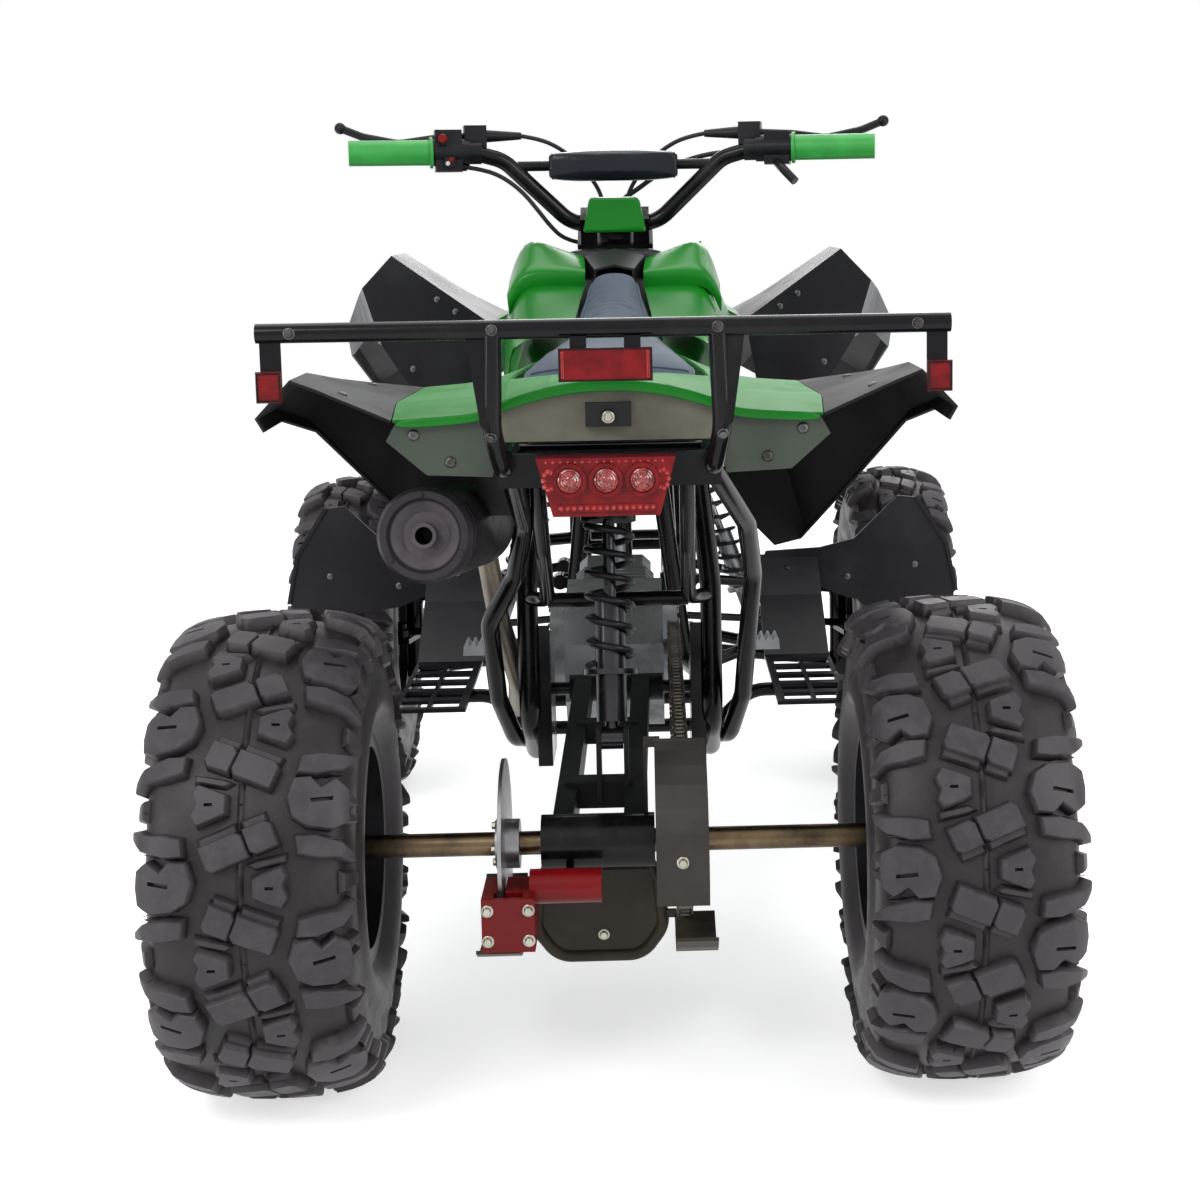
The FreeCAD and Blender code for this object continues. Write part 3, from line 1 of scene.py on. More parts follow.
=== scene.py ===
# %% [markdown]
# A sport quad bike, dressed in Blender.
# The packed model is the skeleton: every tube, panel and wheel stands where the real one does.
# This lesson gives each surface its finish and adds what repeats on the real machine, such as
# the lugs of the tyres, the links of the chain and the bolts.

# %% Load the frame
import bmesh
import bpy
import json
import math
import random
from mathutils import Matrix, Vector
from mathutils.bvhtree import BVHTree


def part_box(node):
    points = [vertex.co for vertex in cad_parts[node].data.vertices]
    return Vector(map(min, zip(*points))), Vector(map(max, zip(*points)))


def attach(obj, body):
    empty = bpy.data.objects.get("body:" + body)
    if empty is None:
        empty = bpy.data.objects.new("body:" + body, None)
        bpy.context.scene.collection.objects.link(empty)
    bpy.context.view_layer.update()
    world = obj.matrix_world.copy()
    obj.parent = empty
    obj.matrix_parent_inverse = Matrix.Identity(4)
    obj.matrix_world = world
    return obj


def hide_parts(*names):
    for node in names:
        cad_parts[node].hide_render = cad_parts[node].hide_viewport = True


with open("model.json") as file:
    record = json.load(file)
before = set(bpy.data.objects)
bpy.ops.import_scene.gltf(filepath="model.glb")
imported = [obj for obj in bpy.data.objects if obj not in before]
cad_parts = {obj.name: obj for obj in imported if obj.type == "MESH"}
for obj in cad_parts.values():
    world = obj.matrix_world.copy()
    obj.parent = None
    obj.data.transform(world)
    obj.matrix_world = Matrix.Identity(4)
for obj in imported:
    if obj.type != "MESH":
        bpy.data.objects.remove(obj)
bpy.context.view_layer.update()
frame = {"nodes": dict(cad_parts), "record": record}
nodes = frame["nodes"]
BODY_OF = {node: body for body, names in frame["record"]["behaviour"]["bodies"].items() for node in names}
MM = 0.001
WHEELBASE, AXLE_HEIGHT = 1165, 254
SIDES = (("left", -1), ("right", 1))


def middle(node):
    """The middle of a node's box."""
    low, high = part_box(node)
    return (Vector(low) + Vector(high)) / 2


axle_y = middle("rear_shaft").y
print("nodes", len(nodes), "rear axle at y", round(axle_y, 4))


def at(side, station, height):
    """A point in millimetres: its side, its station forward of the rear axle, its height."""
    return Vector((side * MM, axle_y + station * MM, height * MM))


def placed(name, data):
    """A new object in the scene, standing at the origin."""
    made = bpy.data.objects.new(name, data)
    bpy.context.scene.collection.objects.link(made)
    return made


# %% [markdown]
# The camera comes first, because every later choice is judged through it. It could be placed by
# eye; here its place, turn and focal length follow from known sizes on the machine. It stands two
# metres behind the rear axle at about chest height and looks a little down.

# %% Camera
CAMERA_SPOT = Vector((0.0382, axle_y - 2.0775, 0.8986))
TURN, DIP, ROLL = 0.0307, 0.1447, -0.0160
FOCAL_PIXELS, PICTURE_PIXELS, SENSOR = 2018.7, 1200, 36
MIDDLE_OFFSET = (110.0, -79.3)

ahead = Vector((math.sin(TURN) * math.cos(DIP), math.cos(TURN) * math.cos(DIP), -math.sin(DIP)))
level = Vector((math.cos(TURN), -math.sin(TURN), 0))
rise = level.cross(ahead)
right = level * math.cos(ROLL) + rise * math.sin(ROLL)
up = rise * math.cos(ROLL) - level * math.sin(ROLL)
lens = bpy.data.cameras.new("camera")
lens.sensor_width = SENSOR
lens.lens = FOCAL_PIXELS / PICTURE_PIXELS * SENSOR
lens.shift_x = -MIDDLE_OFFSET[0] / PICTURE_PIXELS
lens.shift_y = MIDDLE_OFFSET[1] / PICTURE_PIXELS
camera = placed("camera", lens)
camera.matrix_world = Matrix((right, up, -ahead)).transposed().to_4x4()
camera.location = CAMERA_SPOT
bpy.context.scene.camera = camera
bpy.context.scene.view_settings.view_transform = "Standard"
print("lens", round(lens.lens, 2), "shift", round(lens.shift_x, 4), round(lens.shift_y, 4))

# %% [markdown]
# Four cables leave the bar: the clutch's from the left lever, the brake's from the right lever,
# the thicker throttle cable and the lead of the left switches. Each leaves its housing straight,
# sags a little behind the pad and goes into the guide on the steering stem. A mesh tube would
# show its corners; a NURBS curve of order 3 stays smooth and its length can be measured.

# %% Cables
LEVER_RUN = ((-0.1256, 0.1286, 1.025), (-0.100, 0.1355, 1.021), (-0.074, 0.1465, 1.009),
             (-0.050, 0.1585, 0.990), (-0.030, 0.1665, 0.966), (-0.018, 0.1675, 0.944),
             (-0.014, 0.1645, 0.92407))
ROUTES = {
    "clutch_cable": LEVER_RUN,
    "brake_line": tuple((-x, y, z) for x, y, z in LEVER_RUN),
    "throttle_cable": ((0.2005, 0.1292, 0.999), (0.170, 0.1335, 1.000), (0.142, 0.1385, 0.999),
                       (0.114, 0.1455, 0.994), (0.084, 0.1535, 0.984), (0.055, 0.1615, 0.968),
                       (0.030, 0.1665, 0.950), (0.010, 0.1685, 0.938), (0.0, 0.1645, 0.92407)),
    "switch_lead": ((-0.1982, 0.1012, 0.983), (-0.172, 0.1015, 0.979), (-0.146, 0.1025, 0.967),
                    (-0.123, 0.1085, 0.948), (-0.105, 0.1175, 0.925), (-0.088, 0.1285, 0.902),
                    (-0.071, 0.1405, 0.885), (-0.052, 0.1495, 0.880)),
}
CABLE_SIZES = {"clutch_cable": (0.168, 0.006), "brake_line": (0.168, 0.006),
               "throttle_cable": (0.226, 0.007), "switch_lead": (0.194, 0.006)}


def draw_cable(node):
    """The cable as a round NURBS curve along its route.

    A curve's box takes in each point's radius, so the radius is the cable's own, in metres.
    """
    long, thick = CABLE_SIZES[node]
    curve = bpy.data.curves.new(node + "_sleeve", "CURVE")
    curve.dimensions = "3D"
    curve.bevel_depth, curve.bevel_resolution = 1.0, 4
    curve.resolution_u, curve.use_fill_caps = 16, True
    line = curve.splines.new("NURBS")
    line.points.add(len(ROUTES[node]) - 1)
    for point, spot in zip(line.points, ROUTES[node]):
        point.co, point.radius = (*spot, 1), thick / 2
    line.order_u = 3
    line.use_endpoint_u = True
    piece = placed(node + "_sleeve", curve)
    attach(piece, "steering")
    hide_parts(node)
    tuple(ROUTES[node][0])
    return piece


cables = [draw_cable(node) for node in ROUTES]
print("cables", [piece.name for piece in cables])

# %% [markdown]
# Materials are built from nodes. Placing and linking each Math node by hand hides the idea, so
# one class wraps a socket: + and * on it add Math nodes, and one method adds any other node.


# %% Writing a material as sums
class Reading:
    """A socket that can be used in a sum."""

    def __init__(self, finish, socket):
        self.finish, self.socket = finish, socket

    def _math(self, operation, first, second):
        return self.finish.node("ShaderNodeMath", {"operation": operation}, {0: first, 1: second})

    def __add__(self, other):
        return self._math("ADD", self, other)

    def __mul__(self, other):
        return self._math("MULTIPLY", self, other)

    def __rsub__(self, other):
        return self._math("SUBTRACT", other, self)

    __radd__, __rmul__ = __add__, __mul__

    def clamp(self):
        return self.finish.node("ShaderNodeClamp", {}, {0: self})

    def step(self, low, high):
        """0 below low, 1 above high and a smooth rise between."""
        return self.finish.node("ShaderNodeMapRange", {"interpolation_type": "SMOOTHSTEP"},
                                {0: self, 1: low, 2: high})


class Finish:
    """One material, or the world, being built."""

    def __init__(self, name, owner=None):
        self.owner = owner or bpy.data.materials.new(name)
        self.owner.use_nodes = True
        self.tree = self.owner.node_tree
        self.tree.nodes.clear()

    def node(self, kind, settings=None, values=None, output=0):
        """Add a node: its settings first, then the values or links of its sockets."""
        made = self.tree.nodes.new(kind)
        for key, setting in (settings or {}).items():
            if key == "stops":
                ramp = made.color_ramp
                while len(ramp.elements) < len(setting):
                    ramp.elements.new(1)
                for element, (spot, colour) in zip(ramp.elements, setting):
                    element.position = spot
                    element.color = (*colour, 1)
            else:
                setattr(made, key, setting)
        for key, value in (values or {}).items():
            socket = made.inputs[key]
            if isinstance(value, Reading):
                self.tree.links.new(value.socket, socket)
            elif hasattr(socket.default_value, "__len__") and len(socket.default_value) == 4:
                socket.default_value = (*value, 1)
            else:
                socket.default_value = value
        return Reading(self, made.outputs[output])

    def place(self):
        return self.node("ShaderNodeTexCoord", output="Object")

    def axes(self):
        """The place on the object as three readings in metres."""
        where = self.place()
        return [self.node("ShaderNodeSeparateXYZ", {}, {0: where}, number) for number in range(3)]

    def noise(self, scale, detail=3, roughness=0.5, stretch=None):
        where = self.place()
        if stretch:
            where = self.node("ShaderNodeMapping", {}, {0: where, 3: stretch})
        return self.node("ShaderNodeTexNoise", {}, {0: where, "Scale": scale, "Detail": detail,
                                                    "Roughness": roughness})

    def mix(self, mask, first, second):
        """The first colour where the mask is 0, the second where it is 1."""
        made = self.tree.nodes.new("ShaderNodeMix")
        made.data_type = "RGBA"
        for number, value in ((0, mask), (6, first), (7, second)):
            socket = made.inputs[number]
            if isinstance(value, Reading):
                self.tree.links.new(value.socket, socket)
            else:
                socket.default_value = (*value, 1) if hasattr(value, "__len__") else value
        return Reading(self, made.outputs[2])

    def bump(self, height, strength, distance, under=None):
        values = {"Height": height, "Strength": strength, "Distance": distance}
        if under:
            values["Normal"] = under
        return self.node("ShaderNodeBump", {}, values)

    def seen(self):
        """1 for the rays of the camera, of gloss and of glass."""
        rays = [self.node("ShaderNodeLightPath", output=number) for number in (0, 3, 6)]
        return (rays[0] + rays[1] + rays[2]).clamp()

    def close(self, shader, kind="ShaderNodeOutputMaterial"):
        """Link the last shader to the output."""
        out = self.tree.nodes.new(kind)
        self.tree.links.new(shader.socket, out.inputs[0])
        return self.owner

    def surface(self, **sockets):
        """Close the material with one Principled shader."""
        names = {key.replace("_", " "): value for key, value in sockets.items()}
        return self.close(self.node("ShaderNodeBsdfPrincipled", {}, names))


print("a finish can", ", ".join(name for name in vars(Finish) if not name.startswith("_")))

# %% [markdown]
# Painted and plated metal. The black tubes have a glossy coat with a faint ripple and some dust,
# the axle is bare steel gone bronze, and turned parts carry fine lines. A picture could be laid
# over them; stretched noise needs none, has no seams and keeps its scale on every part.


# %% Metals
def painted_steel():
    f = Finish("black_painted_steel")
    ripple = f.noise(60, 4)
    dust = f.noise(14, 6, 0.65).step(0.45, 0.75)
    colour = f.mix(dust, (0.004, 0.004, 0.005), (0.012, 0.011, 0.011))
    return f.surface(Base_Color=colour, Roughness=0.18 + 0.16 * dust, Metallic=0.0, Specular_IOR_Level=0.19,
                     Normal=f.bump(ripple, 0.12, 0.0006))


def bare_metal(name, colour, shade, roughness, across, metallic=1.0):
    """Bare metal with fine lines, which run across the direction that is stretched."""
    f = Finish(name)
    lines = f.noise(1, 4, 0.6, stretch=across)
    stain = f.noise(18, 5, 0.6).step(0.4, 0.7)
    return f.surface(Base_Color=f.mix(stain, colour, shade), Roughness=roughness + 0.18 * lines,
                     Metallic=metallic, Normal=f.bump(lines, 0.15, 0.0003))


def cast_alloy():
    f = Finish("cast_alloy")
    grain = f.noise(700, 2)
    stain = f.noise(12, 6, 0.7).step(0.42, 0.7)
    return f.surface(Base_Color=f.mix(stain, (0.30, 0.31, 0.32), (0.16, 0.16, 0.16)),
                     Roughness=0.42 + 0.2 * stain, Metallic=0.85, Normal=f.bump(grain, 0.35, 0.0006))


def heated_steel():
    """Exhaust tube: grey brown, bluer and browner in patches where it ran hot."""
    f = Finish("heated_steel")
    patch = f.noise(9, 4, 0.6)
    ramp = f.node("ShaderNodeValToRGB", {"stops": [(0.30, (0.20, 0.19, 0.18)), (0.50, (0.26, 0.22, 0.17)),
                                                   (0.72, (0.15, 0.14, 0.15))]}, {0: patch})
    return f.surface(Base_Color=ramp, Roughness=0.34 + 0.2 * f.noise(120, 3), Metallic=0.9,
                     Normal=f.bump(f.noise(300, 2), 0.1, 0.0004))


print("metals", [made.__name__ for made in (painted_steel, bare_metal, cast_alloy, heated_steel)])

# %% [markdown]
# Plastics. The green panels are glossy and clean, the black ones have a fine leather-like grain
# that catches the light on their edges. Cells of a Voronoi pattern, read as a bump, give that
# grain; as real dents they would take millions of faces.


# %% Plastics
def glossy_plastic(name, colour, deeper):
    f = Finish(name)
    cloud = f.noise(6, 3).step(0.35, 0.7)
    scuff = f.noise(1, 5, 0.7, stretch=(900, 60, 300)).step(0.62, 0.8)
    return f.surface(Base_Color=f.mix(cloud, colour, deeper), Roughness=0.24 + 0.18 * scuff,
                     Specular_IOR_Level=0.20, Normal=f.bump(f.noise(220, 2), 0.05, 0.0004))


def grained_plastic(name, colour, paler, roughness=0.38, grain=900):
    f = Finish(name)
    cells = f.node("ShaderNodeTexVoronoi", {"feature": "SMOOTH_F1"}, {0: f.place(), "Scale": grain})
    cloud = f.noise(10, 5, 0.6).step(0.4, 0.72)
    return f.surface(Base_Color=f.mix(cloud, colour, paler), Roughness=roughness + 0.14 * cloud,
                     Specular_IOR_Level=0.20, Normal=f.bump(cells, 0.25, 0.0005))


def muffler_finish():
    """A black can whose end cap is violet grey, paler in the dish round the outlet, with painted shade in the
    outlet.
    """
    f = Finish("muffler_coat")
    end, along = at(-193, -20, 589), (at(-193, -20, 589) - at(-167, 300, 555)).normalized()
    away = f.node("ShaderNodeVectorMath", {"operation": "SUBTRACT"}, {0: f.place(), 1: end})
    depth = f.node("ShaderNodeVectorMath", {"operation": "DOT_PRODUCT"}, {0: away, 1: along}, 1)
    far = f.node("ShaderNodeVectorMath", {"operation": "CROSS_PRODUCT"}, {0: away, 1: along})
    radius = f.node("ShaderNodeVectorMath", {"operation": "LENGTH"}, {0: far}, 1)
    soot = f.noise(40, 5, 0.65).step(0.42, 0.72)
    black = f.mix(soot, (0.008, 0.008, 0.009), (0.020, 0.018, 0.019))
    cap = f.mix(soot, (0.026, 0.022, 0.026), (0.018, 0.015, 0.018))
    dish = f.mix(soot, (0.085, 0.071, 0.085), (0.055, 0.046, 0.055))
    on_cap = depth.step(-0.0262, -0.0258)
    in_dish = 1 - radius.step(0.0340, 0.0365)
    # Painted shade: the outlet's opening is near black, for the shade inside the pipe.
    outlet_shade = 1 - radius.step(0.0092, 0.0096)
    colour = f.mix(on_cap, black, f.mix(in_dish, cap, f.mix(outlet_shade, dish, (0.006, 0.005, 0.005))))
    return f.surface(Base_Color=colour, Roughness=0.44 + 0.14 * soot, Specular_IOR_Level=0.25,
                     Normal=f.bump(f.noise(600, 2), 0.12, 0.0004))


def underside_finish():
    """The fender's back: pale and warm in the middle, grey green on the wings, black at the latch."""
    f = Finish("grey_green_back")
    x, y, z = f.axes()
    side = f.node("ShaderNodeMath", {"operation": "ABSOLUTE"}, {0: x})
    cloud = f.noise(9, 5, 0.6).step(0.38, 0.72)
    streak = f.noise(1, 4, 0.6, stretch=(30, 30, 260)).step(0.5, 0.8)
    middle_colour = f.mix(cloud, (0.190, 0.185, 0.140), (0.120, 0.118, 0.088))
    wing_colour = f.mix(cloud, (0.056, 0.072, 0.053), (0.038, 0.050, 0.039))
    colour = f.mix(side.step(0.108, 0.116), middle_colour, wing_colour)
    latch = (1 - side.step(0.0230, 0.0236)) * (1 - y.step(axle_y - 0.0506, axle_y - 0.0503))
    colour = f.mix(latch, colour, (0.006, 0.006, 0.007))
    return f.surface(Base_Color=colour, Roughness=0.42 + 0.2 * streak, Specular_IOR_Level=0.3,
                     Normal=f.bump(f.noise(300, 3), 0.15, 0.0005))


def red_lens():
    f = Finish("red_lens")
    prisms = f.node("ShaderNodeTexVoronoi", {"feature": "F1", "distance": "CHEBYCHEV"},
                    {0: f.place(), "Scale": 330, "Randomness": 0.0})
    shade = f.mix(f.noise(60, 3).step(0.35, 0.7), (0.20, 0.006, 0.008), (0.12, 0.003, 0.005))
    return f.surface(Base_Color=shade, Roughness=0.12, Specular_IOR_Level=0.20,
                     Normal=f.bump(prisms, 0.30, 0.0012))


def clear_lens():
    f = Finish("clear_lens")
    return f.surface(Base_Color=(0.42, 0.44, 0.46), Roughness=0.08, Coat_Weight=0.4, Metallic=0.4,
                     Normal=f.bump(f.noise(260, 1), 0.2, 0.0008))


PLASTICS = (glossy_plastic, grained_plastic, muffler_finish, underside_finish, red_lens,
            clear_lens)
print("plastics", [made.__name__ for made in PLASTICS])

# %% [markdown]
# The tyres are a soft violet grey, and painted shade makes them darker down in the grooves: the
# mesh carries that depth as an attribute, which the finish reads.
# The seat's vinyl has a fine pebbled grain.


# %% Rubber and vinyl
def tyre_rubber():
    """The tread's own attribute says how deep a point lies: 0 on a lug's top, 1 in a groove."""
    f = Finish("tyre_rubber")
    depth = f.node("ShaderNodeAttribute", {"attribute_name": "depth"}, output="Fac")
    film = f.noise(38, 6, 0.7).step(0.40, 0.70)
    # Painted shade: the grooves take a darker tone than the lugs' tops.
    top = f.mix(film, (0.036, 0.031, 0.035), (0.056, 0.049, 0.053))
    groove = f.mix(film, (0.014, 0.011, 0.012), (0.026, 0.021, 0.022))
    skin = f.bump(f.noise(420, 4, 0.6), 0.30, 0.0007)
    return f.surface(Base_Color=f.mix(depth, top, groove), Roughness=0.42 + 0.16 * film,
                     Specular_IOR_Level=0.32, Normal=skin)


def soft_vinyl(name, colour, paler, roughness, grain=1400):
    f = Finish(name)
    pebbles = f.node("ShaderNodeTexVoronoi", {"feature": "F1"}, {0: f.place(), "Scale": grain})
    cloud = f.noise(7, 4).step(0.35, 0.7)
    fold = f.bump(f.noise(22, 3), 0.10, 0.003)
    return f.surface(Base_Color=f.mix(cloud, colour, paler), Roughness=roughness, Specular_IOR_Level=0.25,
                     Normal=f.bump(pebbles, 0.22, 0.0005, fold))


def grip_rubber():
    f = Finish("green_grip_rubber")
    cloud = f.noise(25, 4).step(0.4, 0.7)
    return f.surface(Base_Color=f.mix(cloud, (0.024, 0.29, 0.042), (0.036, 0.36, 0.058)), Roughness=0.42,
                     Normal=f.bump(f.noise(500, 2), 0.1, 0.0005))


print("soft", [made.__name__ for made in (tyre_rubber, soft_vinyl, grip_rubber)])

# %% [markdown]
# Every node of the packed model names a slot, such as tyre or rim_metal. A finish for each slot
# dresses the whole machine at once, and a few nodes that differ get a finish of their own.

# %% Every slot's finish
def pale(shade, blue=0.0):
    """A near-grey colour."""
    return shade, shade, shade + blue


FINISHES = {
    "tyre": tyre_rubber(),
    "rim_metal": grained_plastic("black_rim_paint", pale(0.012, 0.002), pale(0.025, 0.003), 0.30, 400),
    "axle_steel": bare_metal("bronzed_axle", (0.16, 0.115, 0.070), (0.055, 0.042, 0.028), 0.22,
                             (900, 40, 40)),
    "disc_steel": bare_metal("ground_steel", (0.34, 0.34, 0.35), (0.20, 0.19, 0.19), 0.28,
                             (30, 900, 900)),
    "chain_steel": bare_metal("oiled_chain", (0.16, 0.14, 0.12), (0.07, 0.06, 0.05), 0.36,
                              (200, 200, 200)),
    "black_steel": painted_steel(),
    "damper_metal": bare_metal("turned_alloy", (0.36, 0.37, 0.39), (0.24, 0.24, 0.25), 0.22,
                               (300, 300, 900)),
    "spring_paint": grained_plastic("spring_coat", pale(0.010, 0.002), pale(0.022, 0.003), 0.28, 500),
    "engine_metal": cast_alloy(),
    "exhaust_steel": heated_steel(),
    "muffler_paint": muffler_finish(),
    # Painted shade: the skid plate behind the rear loop is the dark olive grey of the floor in shade.
    "plate_grey": grained_plastic("floor_shade_plate", (0.040, 0.033, 0.022), (0.075, 0.060, 0.042), 0.42, 500),
    "seat_cover": soft_vinyl("seat_vinyl", (0.050, 0.070, 0.098), (0.066, 0.090, 0.122), 0.62),
    "green_plastic": glossy_plastic("green_panel", (0.008, 0.195, 0.014), (0.006, 0.150, 0.012)),
    "underside_plastic": underside_finish(),
    "black_plastic": grained_plastic("black_panel", pale(0.006, 0.002), pale(0.014, 0.002), 0.30),
    "pad_cover": soft_vinyl("pad_vinyl", (0.006, 0.008, 0.013), (0.010, 0.013, 0.019), 0.14, 700),
    "grip_rubber": grip_rubber(),
    "cable_cover": grained_plastic("cable_sleeve", pale(0.014, 0.003), pale(0.030, 0.004), 0.34, 600),
    "red_lens": red_lens(),
    "clear_lens": clear_lens(),
    "red_paint": glossy_plastic("red_caliper_paint", (0.21, 0.004, 0.006), (0.14, 0.003, 0.004)),
}
OWN_FINISH = {
    "chain_guard": grained_plastic("guard_brown_grey", (0.034, 0.030, 0.027), (0.050, 0.044, 0.039),
                                   0.40, 500),
    "rear_fender": grained_plastic("satin_green", (0.008, 0.175, 0.014), (0.006, 0.150, 0.012), 0.52),
    "rear_liners": grained_plastic("matt_black_liner", (0.006, 0.006, 0.007), (0.012, 0.011, 0.011),
                                   0.58, 700),
    "swingarm": grained_plastic("matt_black_steel", pale(0.004, 0.001), pale(0.009, 0.001), 0.46, 300),
    "rear_damper": bare_metal("dark_damper", (0.045, 0.045, 0.048), (0.025, 0.025, 0.026), 0.16,
                              (300, 300, 40), 0.9),
}
SLOT_OF = {part["node"]: part["material_slot"] for part in frame["record"]["subparts"]}
for name, node in nodes.items():
    node.data.materials.clear()
    node.data.materials.append(OWN_FINISH.get(name) or FINISHES[SLOT_OF[name]])
for piece in cables:
    piece.data.materials.append(FINISHES["cable_cover"])
print("finishes", len(FINISHES))

# %% [markdown]
# A few helpers make meshes. Simple pieces come from rows of points that are joined by faces; worked
# ones from bmesh, Blender's editable mesh. Another helper runs the modifiers and keeps the result as
# a plain mesh, because the export wants each piece as it finally is.


# %% Helpers for pieces
def mesh_of(name, points, faces):
    mesh = bpy.data.meshes.new(name)
    mesh.from_pydata([tuple(p) for p in points], [], faces)
    return placed(name, mesh)


def kept(name, shape):
    """A worked bmesh as a new piece."""
    mesh = bpy.data.meshes.new(name)
    shape.to_mesh(mesh)
    return placed(name, mesh)


def outwards(piece):
    """The piece with its faces pointing outwards."""
    shape = bmesh.new()
    shape.from_mesh(piece.data)
    bmesh.ops.recalc_face_normals(shape, faces=shape.faces)
    shape.to_mesh(piece.data)
    return piece


def joined(name, pieces):
    """One piece from several, which go."""
    shape = bmesh.new()
    for piece in pieces:
        shape.from_mesh(piece.data)
        bpy.data.objects.remove(piece)
    return kept(name, shape)


def woven(name, rows, around=True, loop=False, caps=False):
    """Faces between rows of points: around closes each row, loop joins the last row to the first,
    and caps fills both ends."""
    count, many = len(rows[0]), len(rows)
    faces = [(r * count + k, r * count + (k + 1) % count,
              (r + 1) % many * count + (k + 1) % count, (r + 1) % many * count + k)
             for r in range(many - (not loop)) for k in range(count - (not around))]
    if caps:
        faces += [tuple(range(count)), tuple(range((many - 1) * count, many * count))]
    return mesh_of(name, [point for row in rows for point in row], faces)


def settle(piece):
    """Keep what the modifiers make as a plain mesh."""
    graph = bpy.context.evaluated_depsgraph_get()
    mesh = bpy.data.meshes.new_from_object(piece.evaluated_get(graph))
    piece.modifiers.clear()
    piece.data = mesh
    return piece


def smooth(piece, degrees=35):
    """Smooth shading that breaks at sharp edges."""
    mesh = piece.data
    mesh.shade_smooth()
    mesh.set_sharp_from_angle(angle=math.radians(degrees))
    return piece


def hand_over(piece, body, slot, *stands_for):
    """Give the piece its body, and the finish of its slot if it has no finish yet."""
    if not piece.data.materials:
        piece.data.materials.append(FINISHES[slot])
    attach(piece, body)
    if stands_for:
        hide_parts(*stands_for)
    return piece


print("helpers", [made.__name__ for made in (mesh_of, kept, outwards, joined, woven, settle, smooth)])

# %% [markdown]
# The stage is a pale floor and a white surround. Brighter lamps could make them white, but they
# would bleach the machine too. So floor and surround only add white for the rays that the camera,
# gloss and glass send out. Four soft lamps light the machine, and two narrow ones at the sides put
# the streaks on the tyres.

# %% Stage and lights
FLOOR_REACH = 30
corners = [(x * FLOOR_REACH, y * FLOOR_REACH, 0) for x, y in ((-1, -1), (1, -1), (1, 1), (-1, 1))]
floor = mesh_of("floor", corners, [(0, 1, 2, 3)])
f = Finish("pale_floor")
glow = f.node("ShaderNodeEmission", {}, {0: (1, 1, 1), 1: 0.60 * f.seen()})
lit = f.node("ShaderNodeBsdfDiffuse", {}, {0: (0.84, 0.84, 0.84)})
floor.data.materials.append(f.close(f.node("ShaderNodeAddShader", {}, {0: glow, 1: lit})))

world = bpy.data.worlds.new("surround")
bpy.context.scene.world = world
f = Finish("surround", world)
soft = f.node("ShaderNodeBackground", {}, {0: (0.95, 0.97, 1.0), 1: 0.50})
white = f.node("ShaderNodeBackground", {}, {0: (1, 1, 1), 1: 1.0})
f.close(f.node("ShaderNodeMixShader", {}, {0: f.seen(), 1: soft, 2: white}), "ShaderNodeOutputWorld")

LAMPS = {
    "key": ((-1.6, -3.0, 2.9), (0, -0.3, 0.4), (1.6, 1.2), 50),
    "fill": ((2.4, -2.6, 2.2), (0, -0.2, 0.4), (1.4, 1.4), 34),
    "top": ((0.0, 0.6, 3.2), (0, 0, 0.5), (2.4, 2.4), 34),
    "front": ((0.5, 3.4, 2.4), (0, 0.4, 0.5), (2.0, 1.4), 42),
    "left_strip": ((-2.2, -1.9, 0.9), (-0.3, -0.5, 0.35), (0.25, 1.4), 14),
    "right_strip": ((2.3, -1.8, 0.9), (0.3, -0.5, 0.35), (0.25, 1.4), 12),
}
for name, (spot, aim, size, power) in LAMPS.items():
    light = bpy.data.lights.new(name, "AREA")
    light.shape = "RECTANGLE"
    light.size, light.size_y = size
    light.energy = power
    lamp = placed(name, light)
    lamp.location = spot
    lamp.rotation_euler = (Vector(aim) - Vector(spot)).to_track_quat("-Z", "Y").to_euler()
print("lamps", len(LAMPS))

# %% [markdown]
# The tyres. On the real ones each lug is moulded with the carcass: pairs of slanted bars up the
# middle, wedge blocks beside them and larger blocks over the shoulder. A bump would leave their
# outline round, so they are geometry: one stretch of tread is drawn flat, bent round the tyre's
# section, and repeated as a ring.

# %% Tyre section
TYRE_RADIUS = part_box("rear_tyre_left")[1][2] / 2 / MM
RIM_RADIUS = 114
STRETCHES = 10
GROOVE = 12.5
CHAMFER, FLARE, SLIT = 1.2, 2.6, 6
TYRE_SHAPES = {"rear": (222, 1.0), "front": (172, 0.78)}


def section_line(width):
    """Points across half a tyre, from the crown to the bead: (side, radius)."""
    half = width / 2
    corners = [(0, TYRE_RADIUS), (14, TYRE_RADIUS), (half - 50, TYRE_RADIUS - 4),
               (half - 16, TYRE_RADIUS - 17), (half - 3, TYRE_RADIUS - 42), (half, TYRE_RADIUS - 78),
               (half - 8, TYRE_RADIUS - 106), (half - 26, RIM_RADIUS + 9)]
    line = []
    for i in range(len(corners) - 1):
        before = corners[max(i - 1, 0)] if i else (-corners[1][0], corners[1][1])
        a, b = corners[i], corners[i + 1]
        after = corners[min(i + 2, len(corners) - 1)]
        for step in range(6):
            t = step / 6
            line.append(tuple(0.5 * (2 * p1 + (p2 - p0) * t + (2 * p0 - 5 * p1 + 4 * p2 - p3) * t * t
                                     + (3 * p1 - p0 - 3 * p2 + p3) * t ** 3)
                              for p0, p1, p2, p3 in zip(before, a, b, after)))
    return line + [corners[-1]]


